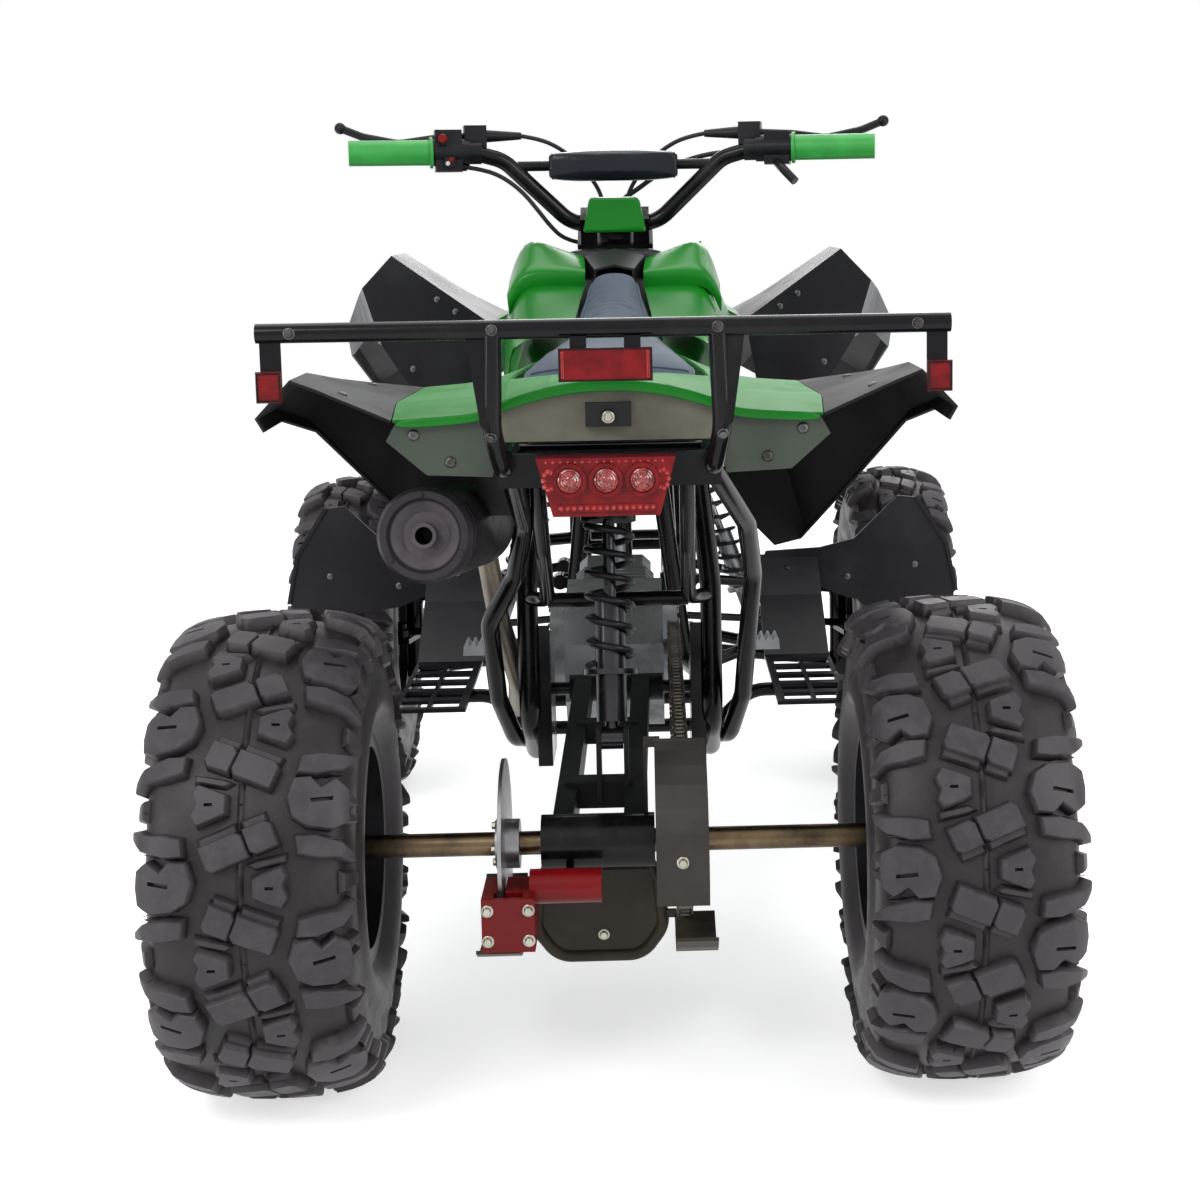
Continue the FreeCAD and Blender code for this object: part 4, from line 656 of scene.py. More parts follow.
class Section:
    """Half a tyre's section, read by the distance along it from the crown."""

    def __init__(self, width):
        self.line = section_line(width)
        self.far = [0]
        for (x, r), (x2, r2) in zip(self.line, self.line[1:]):
            self.far.append(self.far[-1] + math.hypot(x2 - x, r2 - r))

    def at(self, along, lift):
        sign = -1 if along < 0 else 1
        along = min(abs(along), self.far[-1] - 0.01)
        i = max(k for k, far in enumerate(self.far) if far <= along)
        i = min(i, len(self.line) - 2)
        t = (along - self.far[i]) / (self.far[i + 1] - self.far[i])
        (x, r), (x2, r2) = self.line[i], self.line[i + 1]
        long = self.far[i + 1] - self.far[i]
        out_x, out_r = (r - r2) / long, (x2 - x) / long
        return sign * (x + (x2 - x) * t + out_x * lift), r + (r2 - r) * t + out_r * lift

    def bend(self, along, round_mm, lift):
        """A flat tread point put on the tyre: along the section, round it, and its lift."""
        x, r = self.at(along, lift)
        turn = round_mm / TYRE_RADIUS
        return Vector((x, r * math.sin(turn), r * math.cos(turn))) * MM


for axle, (width, squeeze) in TYRE_SHAPES.items():
    print(axle, "tyre, crown to bead", round(Section(width).far[-1]), "mm")

# %% [markdown]
# A lug is a flat outline with a chamfered top and walls that flare a little into the groove, and
# some have a slit in the top. Its faces are cut along a grid before they are bent, so that long
# lugs follow the tyre.


# %% Lugs drawn flat
def moved_out(outline, distance):
    """The outline with each side moved outwards."""
    count = len(outline)
    moved = []
    for i in range(count):
        (ax, ay), (bx, by), (cx, cy) = outline[i - 1], outline[i], outline[(i + 1) % count]
        first, second = math.hypot(bx - ax, by - ay), math.hypot(cx - bx, cy - by)
        n1 = ((by - ay) / first, (ax - bx) / first)
        n2 = ((cy - by) / second, (bx - cx) / second)
        push = distance / max(1 + n1[0] * n2[0] + n1[1] * n2[1], 0.35)
        moved.append((bx + (n1[0] + n2[0]) * push, by + (n1[1] + n2[1]) * push))
    return moved


def add_lug(shape, outline, slit=None, top=0.0, foot=-GROOVE - 1.5):
    """One lug: rings at the chamfer, the edge and the foot, and a filled top with its slit."""
    area = sum(a[0] * b[1] - b[0] * a[1] for a, b in zip(outline, outline[1:] + outline[:1]))
    if area < 0:
        outline = outline[::-1]
    levels = ((moved_out(outline, -CHAMFER), top), (outline, top - CHAMFER),
              (moved_out(outline, FLARE), foot))
    rings = [[shape.verts.new((x, y, lift)) for x, y in ring] for ring, lift in levels]
    count = len(outline)
    for inner, outer in zip(rings, rings[1:]):
        for i in range(count):
            j = (i + 1) % count
            shape.faces.new((inner[i], outer[i], outer[j], inner[j]))
    edges = [shape.edges.get((rings[0][i], rings[0][(i + 1) % count])) for i in range(count)]
    if slit:
        brim = [shape.verts.new((x, y, top)) for x, y in slit]
        bottom = [shape.verts.new((x, y, top - SLIT)) for x, y in slit]
        for i in range(len(slit)):
            j = (i + 1) % len(slit)
            shape.faces.new((brim[i], brim[j], bottom[j], bottom[i]))
            edges.append(shape.edges.get((brim[i], brim[j])))
        shape.faces.new(bottom)
        bmesh.ops.triangle_fill(shape, use_beauty=True, edges=edges)
    else:
        shape.faces.new(rings[0])


def turned_box(cx, cy, long, wide, degrees, cut=0):
    """A slanted bar's outline, with its corners cut."""
    c, s = math.cos(math.radians(degrees)), math.sin(math.radians(degrees))
    half, side = long / 2, wide / 2
    flat = [(-half + cut, -side), (half, -side), (half, side - cut), (half - cut, side), (-half, side),
            (-half, -side + cut)] if cut else [(-half, -side), (half, -side), (half, side), (-half, side)]
    return [(cx + x * c - y * s, cy + x * s + y * c) for x, y in flat]


def tread_stretch(squeeze):
    """The lugs of one stretch, flat: across in x, round the tyre in y."""
    shape = bmesh.new()
    pitch = 2 * math.pi * TYRE_RADIUS / STRETCHES

    def add(outline, slot=None, **levels):
        add_lug(shape, [(x * squeeze, y) for x, y in outline],
                [(x * squeeze, y) for x, y in slot] if slot else None, **levels)

    heart = [(44, -6), (50, -25), (66, -27), (76, -17), (90, -27), (105, -18), (108, 0), (104, 18),
             (88, 25), (64, 22), (50, 13)]
    heart_slot = [(66, -5), (88, -8), (88, -4), (67, -1)]
    wing = [(53, -13), (72, -14), (98, -7), (116, 6), (119, 15), (96, 9), (74, 8), (56, 4)]
    wedge = [(13, -9), (24, -14), (40, -20), (45, -12), (41, -2), (46, 10), (40, 20), (24, 14), (13, 9)]
    wedge_slot = [(25, -1.6), (33, -1.6), (33, 1.6), (25, 1.6)]
    for step, hand in ((0, 1), (0.5, -1)):
        base = pitch * step
        slant = 22 * hand
        c, s = math.cos(math.radians(slant)), math.sin(math.radians(slant))
        for mid, long in (((-22, 27), (15, 42)) if hand > 0 else ((-14, 42), (22, 27))):
            add(turned_box(mid * c, base + mid * s, long, 27, slant, 5))
            add(turned_box(mid * c + 17 * s, base + mid * s - 17 * c, long - 4, 8, slant), top=-5.5)
        between = base + pitch * 0.25
        add([(-x * hand, between + y) for x, y in wedge], [(-x * hand, between + y) for x, y in wedge_slot])
        add([(-x * hand, between + y) for x, y in ((9, -22), (16, -25), (44, -31), (44, -24), (16, -18))],
            top=-5.5)
        add([(x * hand, between + y) for x, y in heart], [(x * hand, between + y) for x, y in heart_slot])
        for up in (-1, 1):
            add([(x * hand, between + up * (44 + y)) for x, y in wing])
            add([(x * hand, between + up * (33 + y * 0.4))
                 for x, y in ((60, 0), (84, -4), (104, 2), (84, 6))], top=-6)
            add([(x * hand, between + up * 10 + y)
                 for x, y in ((112, -6), (134, -4), (134, 4), (112, 6))], top=-5, foot=-GROOVE)
        add([(x * hand, between + pitch * 0.5 + y)
             for x, y in ((104, -10), (138, -7), (138, 7), (104, 10))], top=-5, foot=-GROOVE)
    add([(-1.2, -pitch / 4), (1.2, -pitch / 4), (1.2, pitch * 0.74), (-1.2, pitch * 0.74)], top=-8.5)
    bmesh.ops.recalc_face_normals(shape, faces=shape.faces)
    for number in range(-14, 15):
        for normal in ((1, 0, 0), (0, 1, 0)):
            bmesh.ops.bisect_plane(shape, geom=shape.verts[:] + shape.edges[:] + shape.faces[:],
                                   plane_co=(number * 14 * squeeze, number * 14 + 40, 0), plane_no=normal)
    return shape


stretch = tread_stretch(1.0)
print("one stretch of", STRETCHES, "has", len(stretch.faces), "faces")
stretch.free()

# %% [markdown]
# The ring. An Array modifier round an empty would do, but a Geometry Nodes tree says it in three
# named inputs: how many copies, round which middle, in which finish. It places the stretch at
# equal turns about the wheel's axle and makes the copies real.


# %% A ring of copies
def new_tree(name, **inputs):
    """A Geometry Nodes tree with named inputs: the tree, its input node, and its two makers."""
    tree = bpy.data.node_groups.new(name, "GeometryNodeTree")
    for key, kind in {"Geometry": "Geometry", **inputs, "Finish": "Material"}.items():
        tree.interface.new_socket(key, in_out="INPUT", socket_type="NodeSocket" + kind)
    tree.interface.new_socket("Geometry", in_out="OUTPUT", socket_type="NodeSocketGeometry")
    return tree, tree.nodes.new("NodeGroupInput"), tree.nodes.new, tree.links.new


def close_tree(tree, given, last):
    """Make the copies real, give them their finish and end the tree."""
    add, link = tree.nodes.new, tree.links.new
    real, finish = add("GeometryNodeRealizeInstances"), add("GeometryNodeSetMaterial")
    result = add("NodeGroupOutput")
    link(last, real.inputs[0])
    link(real.outputs[0], finish.inputs["Geometry"])
    link(given.outputs["Finish"], finish.inputs["Material"])
    link(finish.outputs[0], result.inputs[0])
    return tree


def ring_tree():
    tree, given, add, link = new_tree("ring of copies", Copies="Int", Middle="Vector")
    points, number, copies = (add("GeometryNode" + kind)
                              for kind in ("Points", "InputIndex", "InstanceOnPoints"))
    share, turn, angles = (add("ShaderNode" + kind) for kind in ("Math", "Math", "CombineXYZ"))
    share.operation, turn.operation = "DIVIDE", "MULTIPLY"
    share.inputs[0].default_value = 2 * math.pi
    link(given.outputs["Copies"], points.inputs["Count"])
    link(given.outputs["Middle"], points.inputs["Position"])
    link(given.outputs["Copies"], share.inputs[1])
    link(number.outputs[0], turn.inputs[0])
    link(share.outputs[0], turn.inputs[1])
    link(turn.outputs[0], angles.inputs[0])
    link(points.outputs[0], copies.inputs["Points"])
    link(given.outputs["Geometry"], copies.inputs["Instance"])
    link(angles.outputs[0], copies.inputs["Rotation"])
    return close_tree(tree, given, copies.outputs[0])


def asked(tree):
    """The names of a tree's inputs."""
    return [item.name for item in tree.interface.items_tree
            if item.item_type == "SOCKET" and item.in_out == "INPUT"]


RING = ring_tree()


def run_tree(piece, tree, **inputs):
    """Run a node tree on a piece with its named inputs, and keep the result."""
    modifier = piece.modifiers.new("tree", "NODES")
    modifier.node_group = tree
    for item in tree.interface.items_tree:
        if item.item_type == "SOCKET" and item.in_out == "INPUT" and item.name in inputs:
            modifier[item.identifier] = inputs[item.name]
    return settle(piece)


print("the ring asks for", asked(RING))

# %% [markdown]
# A whole tyre is the bent ring of lugs on a carcass that is turned from the same section: sunk by
# the groove's depth under the tread, plain on the wall, and hollow inside down to its beads.

# %% Tyres
def carcass(section):
    """The tyre under its lugs: turned from the section, hollow, with its beads."""
    shape = bmesh.new()
    steps = 120
    reach = section.far[-1]
    line = []
    for number in range(-36, 37):
        along = reach * number / 36
        shoulder = min(max((reach * 0.86 - abs(along)) / 30, 0), 1)
        groove = GROOVE * shoulder * shoulder * (3 - 2 * shoulder)
        rib = 1.6 * math.exp(-((abs(along) - reach * 0.90) / 2.4) ** 2)
        line.append((*section.at(along, rib - groove), groove / GROOVE))
    edge = line[-1][0]
    inside = [(edge - 10, RIM_RADIUS + 0.4, 1), (edge - 16, RIM_RADIUS + 26, 1),
              (edge + 6, TYRE_RADIUS - 80, 1), (edge - 4, TYRE_RADIUS - 36, 1)]
    line += inside + [(-x, r, d) for x, r, d in inside[::-1]]
    line.insert(73, (edge, RIM_RADIUS + 0.4, 0))
    line.append((-edge, RIM_RADIUS + 0.4, 0))
    rows = []
    deep = shape.verts.layers.float.new("depth")
    for step in range(steps):
        turn = 2 * math.pi * step / steps
        row = []
        for x, r, depth in line:
            vert = shape.verts.new(Vector((x, r * math.sin(turn), r * math.cos(turn))) * MM)
            vert[deep] = depth
            row.append(vert)
        rows.append(row)
    for a, b in zip(rows, rows[1:] + rows[:1]):
        for i in range(len(a)):
            j = (i + 1) % len(a)
            shape.faces.new((a[i], a[j], b[j], b[i]))
    bmesh.ops.recalc_face_normals(shape, faces=shape.faces)
    return shape


def make_tyre(node, width, squeeze, side):
    section = Section(width)
    lugs = tread_stretch(squeeze)
    deep = lugs.verts.layers.float.new("depth")
    for vert in lugs.verts:
        vert[deep] = min(max((-vert.co.z - 1.5) / (GROOVE - 1.5), 0), 1)
        vert.co = section.bend(vert.co.x, vert.co.y, vert.co.z)
    tread = run_tree(kept(node + "_lugs", lugs), RING, Copies=STRETCHES, Middle=(0, 0, 0),
                     Finish=FINISHES["tyre"])
    whole = carcass(section)
    whole.from_mesh(tread.data)
    bpy.data.objects.remove(tread)
    about = Matrix.Rotation(math.pi if side < 0 else 0, 3, "Z")
    bmesh.ops.rotate(whole, verts=whole.verts, cent=(0, 0, 0), matrix=about)
    bmesh.ops.translate(whole, verts=whole.verts, vec=middle(node))
    tyre = smooth(kept(node + "_rubber", whole), 40)
    hand_over(tyre, BODY_OF[node], "tyre", node)
    print(node, "faces", len(tyre.data.polygons))


for name, side in SIDES:
    for axle, (width, squeeze) in TYRE_SHAPES.items():
        make_tyre(f"{axle}_tyre_{name}", width, squeeze, side)

# %% [markdown]
# Small parts that repeat, such as bolts, links and rubber hairs, are one template each. Copying
# them by hand would hide where they stand; here a cloud of points says where each copy stands and
# how it is turned, and a Geometry Nodes tree sets them out.


# %% Copies on points
def copies_tree():
    tree, given, add, link = new_tree("copies on points", Template="Object")
    template, copies = add("GeometryNodeObjectInfo"), add("GeometryNodeInstanceOnPoints")
    link(given.outputs["Template"], template.inputs["Object"])
    link(given.outputs["Geometry"], copies.inputs["Points"])
    link(template.outputs["Geometry"], copies.inputs["Instance"])
    for name, kind, socket in (("turn", "FLOAT_VECTOR", "Rotation"), ("size", "FLOAT", "Scale")):
        stored = add("GeometryNodeInputNamedAttribute")
        stored.data_type = kind
        stored.inputs["Name"].default_value = name
        link(next(out for out in stored.outputs if out.enabled and out.name == "Attribute"),
             copies.inputs[socket])
    return close_tree(tree, given, copies.outputs[0])


COPIES = copies_tree()


def set_out(name, template, spots, finish):
    """Copies of the template at spots of (place, turn, size), as one plain mesh.

    The turns are filled before the sizes are made, because a new attribute moves the others.
    """
    cloud = mesh_of(name, [place for place, turn, size in spots], [])
    turns = cloud.data.attributes.new("turn", "FLOAT_VECTOR", "POINT")
    for stored, (place, turn, size) in zip(turns.data, spots):
        stored.vector = tuple(turn)
    sizes = cloud.data.attributes.new("size", "FLOAT", "POINT")
    for stored, (place, turn, size) in zip(sizes.data, spots):
        stored.value = size
    return run_tree(cloud, COPIES, Template=template, Finish=FINISHES[finish])


def lathe(name, profile, sides=24):
    """A closed turned shape about Z from (radius, height) points in millimetres."""
    shape = bmesh.new()
    rings = []
    for radius, height in profile:
        if radius == 0:
            rings.append([shape.verts.new((0, 0, height * MM))])
        else:
            rings.append([shape.verts.new((radius * MM * math.cos(a), radius * MM * math.sin(a), height * MM))
                          for a in (2 * math.pi * k / sides for k in range(sides))])
    for low, high in zip(rings, rings[1:]):
        for k in range(sides):
            after = (k + 1) % sides
            corners = low[k % len(low)], low[after % len(low)], high[after % len(high)], high[k % len(high)]
            shape.faces.new(list(dict.fromkeys(corners)))
    bmesh.ops.recalc_face_normals(shape, faces=shape.faces)
    return kept(name, shape)


def facing(direction):
    """The turn that points a template's Z along the direction."""
    return Vector(direction).to_track_quat("Z", "Y").to_euler()


print("the copies ask for", asked(COPIES))

# %% [markdown]
# The chain: every link is two plates and a roller, and inner and outer links take turns, as on the
# real chain. A bent band with a picture of links would look flat. Here each pin's place is reckoned
# along the pitch line round both sprockets, and the links are set out from pin to pin.

# %% Chain
PITCH, LINKS, CHAIN_SIDE = 12.7, 114, 68
TEETH, DRIVE_TEETH = 39, 15
big, small = (PITCH / 2 / math.sin(math.pi / teeth) for teeth in (TEETH, DRIVE_TEETH))
climb = math.asin(95 / 552)
free_links = LINKS - (TEETH + DRIVE_TEETH) / 2
apart = PITCH * (free_links - ((TEETH - DRIVE_TEETH) / 2 / math.pi) ** 2 / (free_links / 2)) / 2
tilt = math.asin((big - small) / apart)
SPROCKETS = (Vector((apart * math.cos(climb), AXLE_HEIGHT + apart * math.sin(climb))),
             Vector((0, AXLE_HEIGHT)))


def chain_pin(along):
    """The (station, height) of a point on the pitch line."""
    upper, lower = climb + math.pi / 2 - tilt, climb - math.pi / 2 + tilt
    for centre, radius, first, last in ((SPROCKETS[0], small, upper, lower),
                                        (SPROCKETS[1], big, lower + 2 * math.pi, upper)):
        arc, run = radius * (first - last), apart * math.cos(tilt)
        if along <= arc:
            angle = first - along / radius
            return centre + Vector((math.cos(angle), math.sin(angle))) * radius
        along -= arc
        if along <= run:
            return (centre + Vector((math.cos(last), math.sin(last))) * radius
                    + Vector((math.sin(last), -math.cos(last))) * along)
        along -= run
    return centre + Vector((math.cos(upper), math.sin(upper))) * radius


def link_template(name, plate_at):
    """One link along Y with a pin at each end: two waisted plates, and a roller at the first pin."""
    shape = bmesh.new()
    outline = []
    for middle_y, first in ((0, 90), (PITCH, -90)):
        for k in range(7):
            turn = math.radians(first + k * 30)
            outline.append((middle_y + 5.3 * math.cos(turn), 5.3 * math.sin(turn)))
        outline.append((PITCH / 2, -4.0 if middle_y == 0 else 4.0))
    for side in (-1, 1):
        low, high = sorted((side * plate_at, side * (plate_at + 1.4)))
        near = [shape.verts.new(Vector((low, y, z)) * MM) for y, z in outline]
        away = [shape.verts.new(Vector((high, y, z)) * MM) for y, z in outline]
        shape.faces.new(near)
        shape.faces.new(away)
        for k in range(len(outline)):
            after = (k + 1) % len(outline)
            shape.faces.new((near[k], near[after], away[after], away[k]))
    for radius, half in ((4.1, 4.4), (2.2, 8.5)):
        rings = [[shape.verts.new(Vector((x, radius * math.cos(a), radius * math.sin(a))) * MM)
                  for a in (math.pi * k / 4 for k in range(8))] for x in (-half, half)]
        for ring in rings:
            shape.faces.new(ring)
        for k in range(8):
            shape.faces.new((rings[0][k], rings[0][(k + 1) % 8], rings[1][(k + 1) % 8], rings[1][k]))
    bmesh.ops.recalc_face_normals(shape, faces=shape.faces)
    return kept(name, shape)


def make_chain():
    whole = small * (math.pi - 2 * tilt) + big * (math.pi + 2 * tilt) + 2 * apart * math.cos(tilt)
    pins = [chain_pin(whole * number / LINKS) for number in range(LINKS)]
    halves = []
    for kind, plate_at in ((0, 4.8), (1, 6.6)):
        spots = []
        for number in range(kind, LINKS, 2):
            here, after = pins[number], pins[(number + 1) % LINKS]
            turn = math.atan2(after.y - here.y, after.x - here.x)
            spots.append((at(CHAIN_SIDE, here.x, here.y), (turn, 0, 0), 1))
        template = link_template("link", plate_at)
        halves.append(set_out(f"chain_half_{kind}", template, spots, "chain_steel"))
        bpy.data.objects.remove(template)
    links = hand_over(joined("chain_links", halves), BODY_OF["chain"], "chain_steel", "chain")
    print("chain", round(whole), "mm, pitch by the arc", round(whole / LINKS, 2),
          "faces", len(links.data.polygons))


make_chain()

# %% [markdown]
# The springs: round wire wound in a screw line. A Screw modifier can wind it too; the node tree
# names its turns, radius and height, and sweeps the wire along the line. The last mesh is stood
# on the damper's lower cup.


# %% Springs
def spring_tree():
    tree, given, add, link = new_tree("wound wire", Turns="Float", Radius="Float", Height="Float",
                                      Wire="Float")
    line, wire, sweep = (add("GeometryNode" + kind)
                         for kind in ("CurveSpiral", "CurvePrimitiveCircle", "CurveToMesh"))
    line.inputs["Resolution"].default_value = 40
    wire.inputs["Resolution"].default_value = 14
    for name, socket in (("Turns", "Rotations"), ("Radius", "Start Radius"), ("Radius", "End Radius"),
                         ("Height", "Height")):
        link(given.outputs[name], line.inputs[socket])
    link(given.outputs["Wire"], next(s for s in wire.inputs if s.name == "Radius" and s.enabled))
    sweep.inputs["Fill Caps"].default_value = True
    link(line.outputs[0], sweep.inputs["Curve"])
    link(wire.outputs[0], sweep.inputs["Profile Curve"])
    return close_tree(tree, given, sweep.outputs[0])


WOUND = spring_tree()
FOOT_ROOM, CUP_ROOM = 76.3, 104.6


def wind_spring(name, foot, head, outer, wire, turns):
    """A spring between a damper's cups, standing on the line from its foot to its head."""
    line = (head - foot).normalized()
    long = (head - foot).length / MM - CUP_ROOM
    spring = mesh_of(name, [(0, 0, 0)], [])
    run_tree(spring, WOUND, Turns=float(turns), Radius=(outer - wire / 2) * MM, Height=(long - wire) * MM,
             Wire=wire / 2 * MM, Finish=FINISHES["spring_paint"])
    low = foot + line * (FOOT_ROOM + wire / 2) * MM
    spring.data.transform(Matrix.Translation(low) @ line.to_track_quat("Z", "Y").to_matrix().to_4x4())
    return smooth(outwards(spring), 50)


rear = wind_spring("rear_coil", at(-7, 112, 338), at(-7, 175, 600), 29, 8, 6)
hand_over(rear, BODY_OF["rear_spring"], "spring_paint", "rear_spring")
front = joined("front_coils", [wind_spring("coil", at(side * 214, WHEELBASE, 250),
                                           at(side * 112, WHEELBASE, 530), 24, 6, 8)
                               for name, side in SIDES])
hand_over(smooth(front, 50), BODY_OF["front_springs"], "spring_paint", "front_springs")
print("springs", len(rear.data.polygons), len(front.data.polygons))

# %% [markdown]
# The seat is foam under stretched vinyl: wide and flat at the rear, narrow at the tank, with a
# crown across it and sides that pull in. Rings of points alone would leave it hard. So the rings
# give the form, cloth with a little pressure fills it like foam, and the welt is a thin cord laid
# along the edge of the top panel.


# %% Seat
def ringed(name, rings):
    """A closed mesh through rings of points, with its ends filled."""
    return outwards(woven(name, rings, caps=True))


def rounded(piece, levels):
    """Subdivision kept as a plain mesh."""
    layer = piece.modifiers.new("rounded", "SUBSURF")
    layer.levels = layer.render_levels = levels
    return settle(piece)


def filled(piece, voxel, pressure, reach, floor=None):
    """Even faces, then cloth under pressure, with each point kept within its reach."""
    even = piece.modifiers.new("even", "REMESH")
    even.mode, even.voxel_size = "VOXEL", voxel
    settle(piece)
    before = [vertex.co.copy() for vertex in piece.data.vertices]
    cloth = piece.modifiers.new("cloth", "CLOTH")
    cloth.settings.use_pressure = True
    cloth.settings.uniform_pressure_force = pressure
    cloth.settings.effector_weights.gravity = 0
    for number in range(1, 21):
        bpy.context.scene.frame_set(number)
    settle(piece)
    bpy.context.scene.frame_set(1)
    for vertex, old in zip(piece.data.vertices, before):
        step = vertex.co - old
        if step.length > reach:
            vertex.co = old + step.normalized() * reach
    if floor is not None:
        for vertex in piece.data.vertices:
            vertex.co.z = max(vertex.co.z, floor)
    return rounded(piece, 1)


SEAT_LINE = [(38, 88, 744), (60, 97, 757), (110, 98, 764), (180, 92, 767), (250, 84, 771), (330, 68, 781),
             (400, 54, 795), (480, 42, 820), (540, 34, 843), (558, 30, 847)]
SEAT_FLOOR = 679.6


def seat_ring(station, half, top):
    """Half the ring's points, then their mirror: floor, pulled-in side, bulged edge, crowned top."""
    side = [(half * 0.55, SEAT_FLOOR), (half - 3, SEAT_FLOOR + 1), (half - 4, (SEAT_FLOOR + top) / 2 - 4),
            (half - 1, top - 26), (half - 6, top - 12), (half * 0.72, top - 4), (half * 0.36, top - 2)]
    return [at(x, station, z) for x, z in [(0, SEAT_FLOOR)] + side + [(0, top - 1)]
            + [(-x, z) for x, z in reversed(side)]]


def seat_edge(side):
    """The line between the seat's top panel and its side."""
    return [at(side * (half - 3.5), station, top - 15) for station, half, top in SEAT_LINE]


def laid_cord(name, line, target, thick, lift=0.0, closed=False):
    """A thin tube along a line, drawn to the nearest spots of a surface."""
    tree = BVHTree.FromPolygons([v.co for v in target.data.vertices],
                                [p.vertices for p in target.data.polygons])
    curve = bpy.data.curves.new(name, "CURVE")
    curve.dimensions = "3D"
    curve.bevel_depth, curve.bevel_resolution, curve.use_fill_caps = thick / 2 * MM, 2, True
    run = curve.splines.new("POLY")
    fine = []
    ends = line + line[:1] if closed else line
    for a, b in zip(ends, ends[1:]):
        steps = max(int((b - a).length / (6 * MM)), 1)
        fine += [a.lerp(b, step / steps) for step in range(steps)]
    if not closed:
        fine.append(ends[-1])
    run.points.add(len(fine) - 1)
    run.use_cyclic_u = closed
    for point, spot in zip(run.points, fine):
        near, normal, face, far = tree.find_nearest(spot)
        point.co = (*(near + normal * lift * MM), 1)
    made = placed(name, curve)
    settled = bpy.data.meshes.new_from_object(made.evaluated_get(bpy.context.evaluated_depsgraph_get()))
    bpy.data.objects.remove(made)
    return smooth(placed(name, settled), 60)


seat = filled(rounded(ringed("seat_cushion", [seat_ring(*row) for row in SEAT_LINE]), 2), 5 * MM, 4, 6 * MM,
              SEAT_FLOOR * MM)
seat.data.shade_smooth()
hand_over(seat, BODY_OF["seat"], "seat_cover", "seat")
across = [at(x, 58 if abs(x) < 80 else 66, 757) for x in range(-90, 91, 20)]
welts = joined("seat_welts", [laid_cord("welt", seat_edge(side), seat, 2.8, 0.4) for side in (-1, 1)]
               + [laid_cord("welt", across, seat, 2.8, 0.4)])
hand_over(welts, BODY_OF["seat"], "seat_cover")
print("seat faces", len(seat.data.polygons))

# %% [markdown]
# The bar pad is a block of foam in shiny vinyl, wrapped round the cross bar. A plain block would
# swallow the bar when it is remeshed, so its rings run on through an inner loop, which keeps the
# hole open. It is filled by cloth as the seat is, and thin hems close its ends and its foot.

# %% Bar pad
PAD_FROM, PAD_TO = -89, 89
BAR_STATION, BAR_HEIGHT = 728, 984


def pad_section(side, shrink):
    """The pad's outer outline at a side: nearly square, with rounded corners."""
    half_deep, half_tall, power = 17.5 - shrink, 19.6 - shrink, 0.30
    outline = []
    for turn in range(0, 360, 30):
        c, s = math.cos(math.radians(turn)), math.sin(math.radians(turn))
        outline.append(at(side, BAR_STATION + half_deep * math.copysign(abs(c) ** power, c),
                          BAR_HEIGHT - 1 + half_tall * math.copysign(abs(s) ** power, s)))
    return outline


def pad_hole(side, radius=8.4):
    turns = [math.radians(turn) for turn in range(0, 360, 30)]
    return [at(side, BAR_STATION + radius * math.cos(turn), BAR_HEIGHT + radius * math.sin(turn))
            for turn in turns]


def make_pad():
    outer = [pad_section(x, shrink) for x, shrink in
             ((PAD_FROM, 5), (PAD_FROM + 4, 1.5), (-60, 0), (0, 0), (60, 0), (PAD_TO - 4, 1.5), (PAD_TO, 5))]
    inner = [pad_hole(x) for x in (PAD_TO, 60, 0, -60, PAD_FROM)]
    made = outwards(woven("bar_pad_foam", outer + inner, loop=True))
    return filled(rounded(made, 2), 3 * MM, 3, 1.2 * MM)


pad = make_pad()
pad.data.shade_smooth()
hand_over(pad, BODY_OF["bar_pad"], "pad_cover", "bar_pad")
foot_line = [at(x, BAR_STATION + 14, BAR_HEIGHT - 21) for x in (PAD_FROM + 6, 0, PAD_TO - 6)]
hems = [laid_cord("hem", pad_section(x, 0), pad, 2.2, 0.2, True) for x in (PAD_FROM + 5, PAD_TO - 5)]
hems.append(laid_cord("hem", foot_line, pad, 2.2, 0.2))
hand_over(joined("bar_pad_hems", hems), BODY_OF["bar_pad"], "pad_cover")
print("pad faces", len(pad.data.polygons))

# %% [markdown]
# Panels with soft corners: each is a run of sections, thickened into a shell, with its rims
# creased and rounded by subdivision. A bevel alone would leave the faces flat. The green wings
# beside the tank rise in two tiers to a peak, and a dark cowl bridges them round the stem.


# %% Tank wings, cover and cowl
def shell_of(name, rows, thick, levels=2, crease=0.55):
    """A shell through rows of points, with soft edges."""
    made = woven(name, rows, around=False)
    wall = made.modifiers.new("wall", "SOLIDIFY")
    wall.thickness, wall.offset, wall.edge_crease_rim = thick * MM, -1, crease
    return smooth(outwards(rounded(made, levels)), 50)


WING_TIERS = {
    "low": [(436, [(50, 772), (88, 770), (126, 752), (135, 706)]),
            (500, [(43, 800), (90, 796), (131, 780), (139, 716)]),
            (560, [(37, 822), (88, 823), (129, 822), (142, 742)]),
            (582, [(37, 826), (86, 827), (128, 826), (143, 746)])],
    "high": [(572, [(36, 820), (80, 820), (124, 820), (139, 782)]),
             (566, [(36, 842), (80, 843), (123, 844), (140, 806)]),
             (576, [(36, 845), (80, 848), (122, 851), (140, 812)]),
             (620, [(38, 857), (82, 866), (120, 875), (140, 820)]),
             (652, [(42, 862), (84, 879), (120, 900), (142, 824)]),
             (694, [(60, 842), (92, 854), (126, 868), (146, 792)])],
}


def make_wings():
    parts = []
    for side in (-1, 1):
        for tier in WING_TIERS.values():
            rows = [[at(side * x, station, z) for x, z in line] for station, line in tier]
            parts.append(shell_of("wing", rows, 3))
    wings = joined("tank_wings", parts)
    hand_over(smooth(wings, 50), "chassis", "green_plastic")
    print("wings", len(wings.data.polygons))


make_wings()


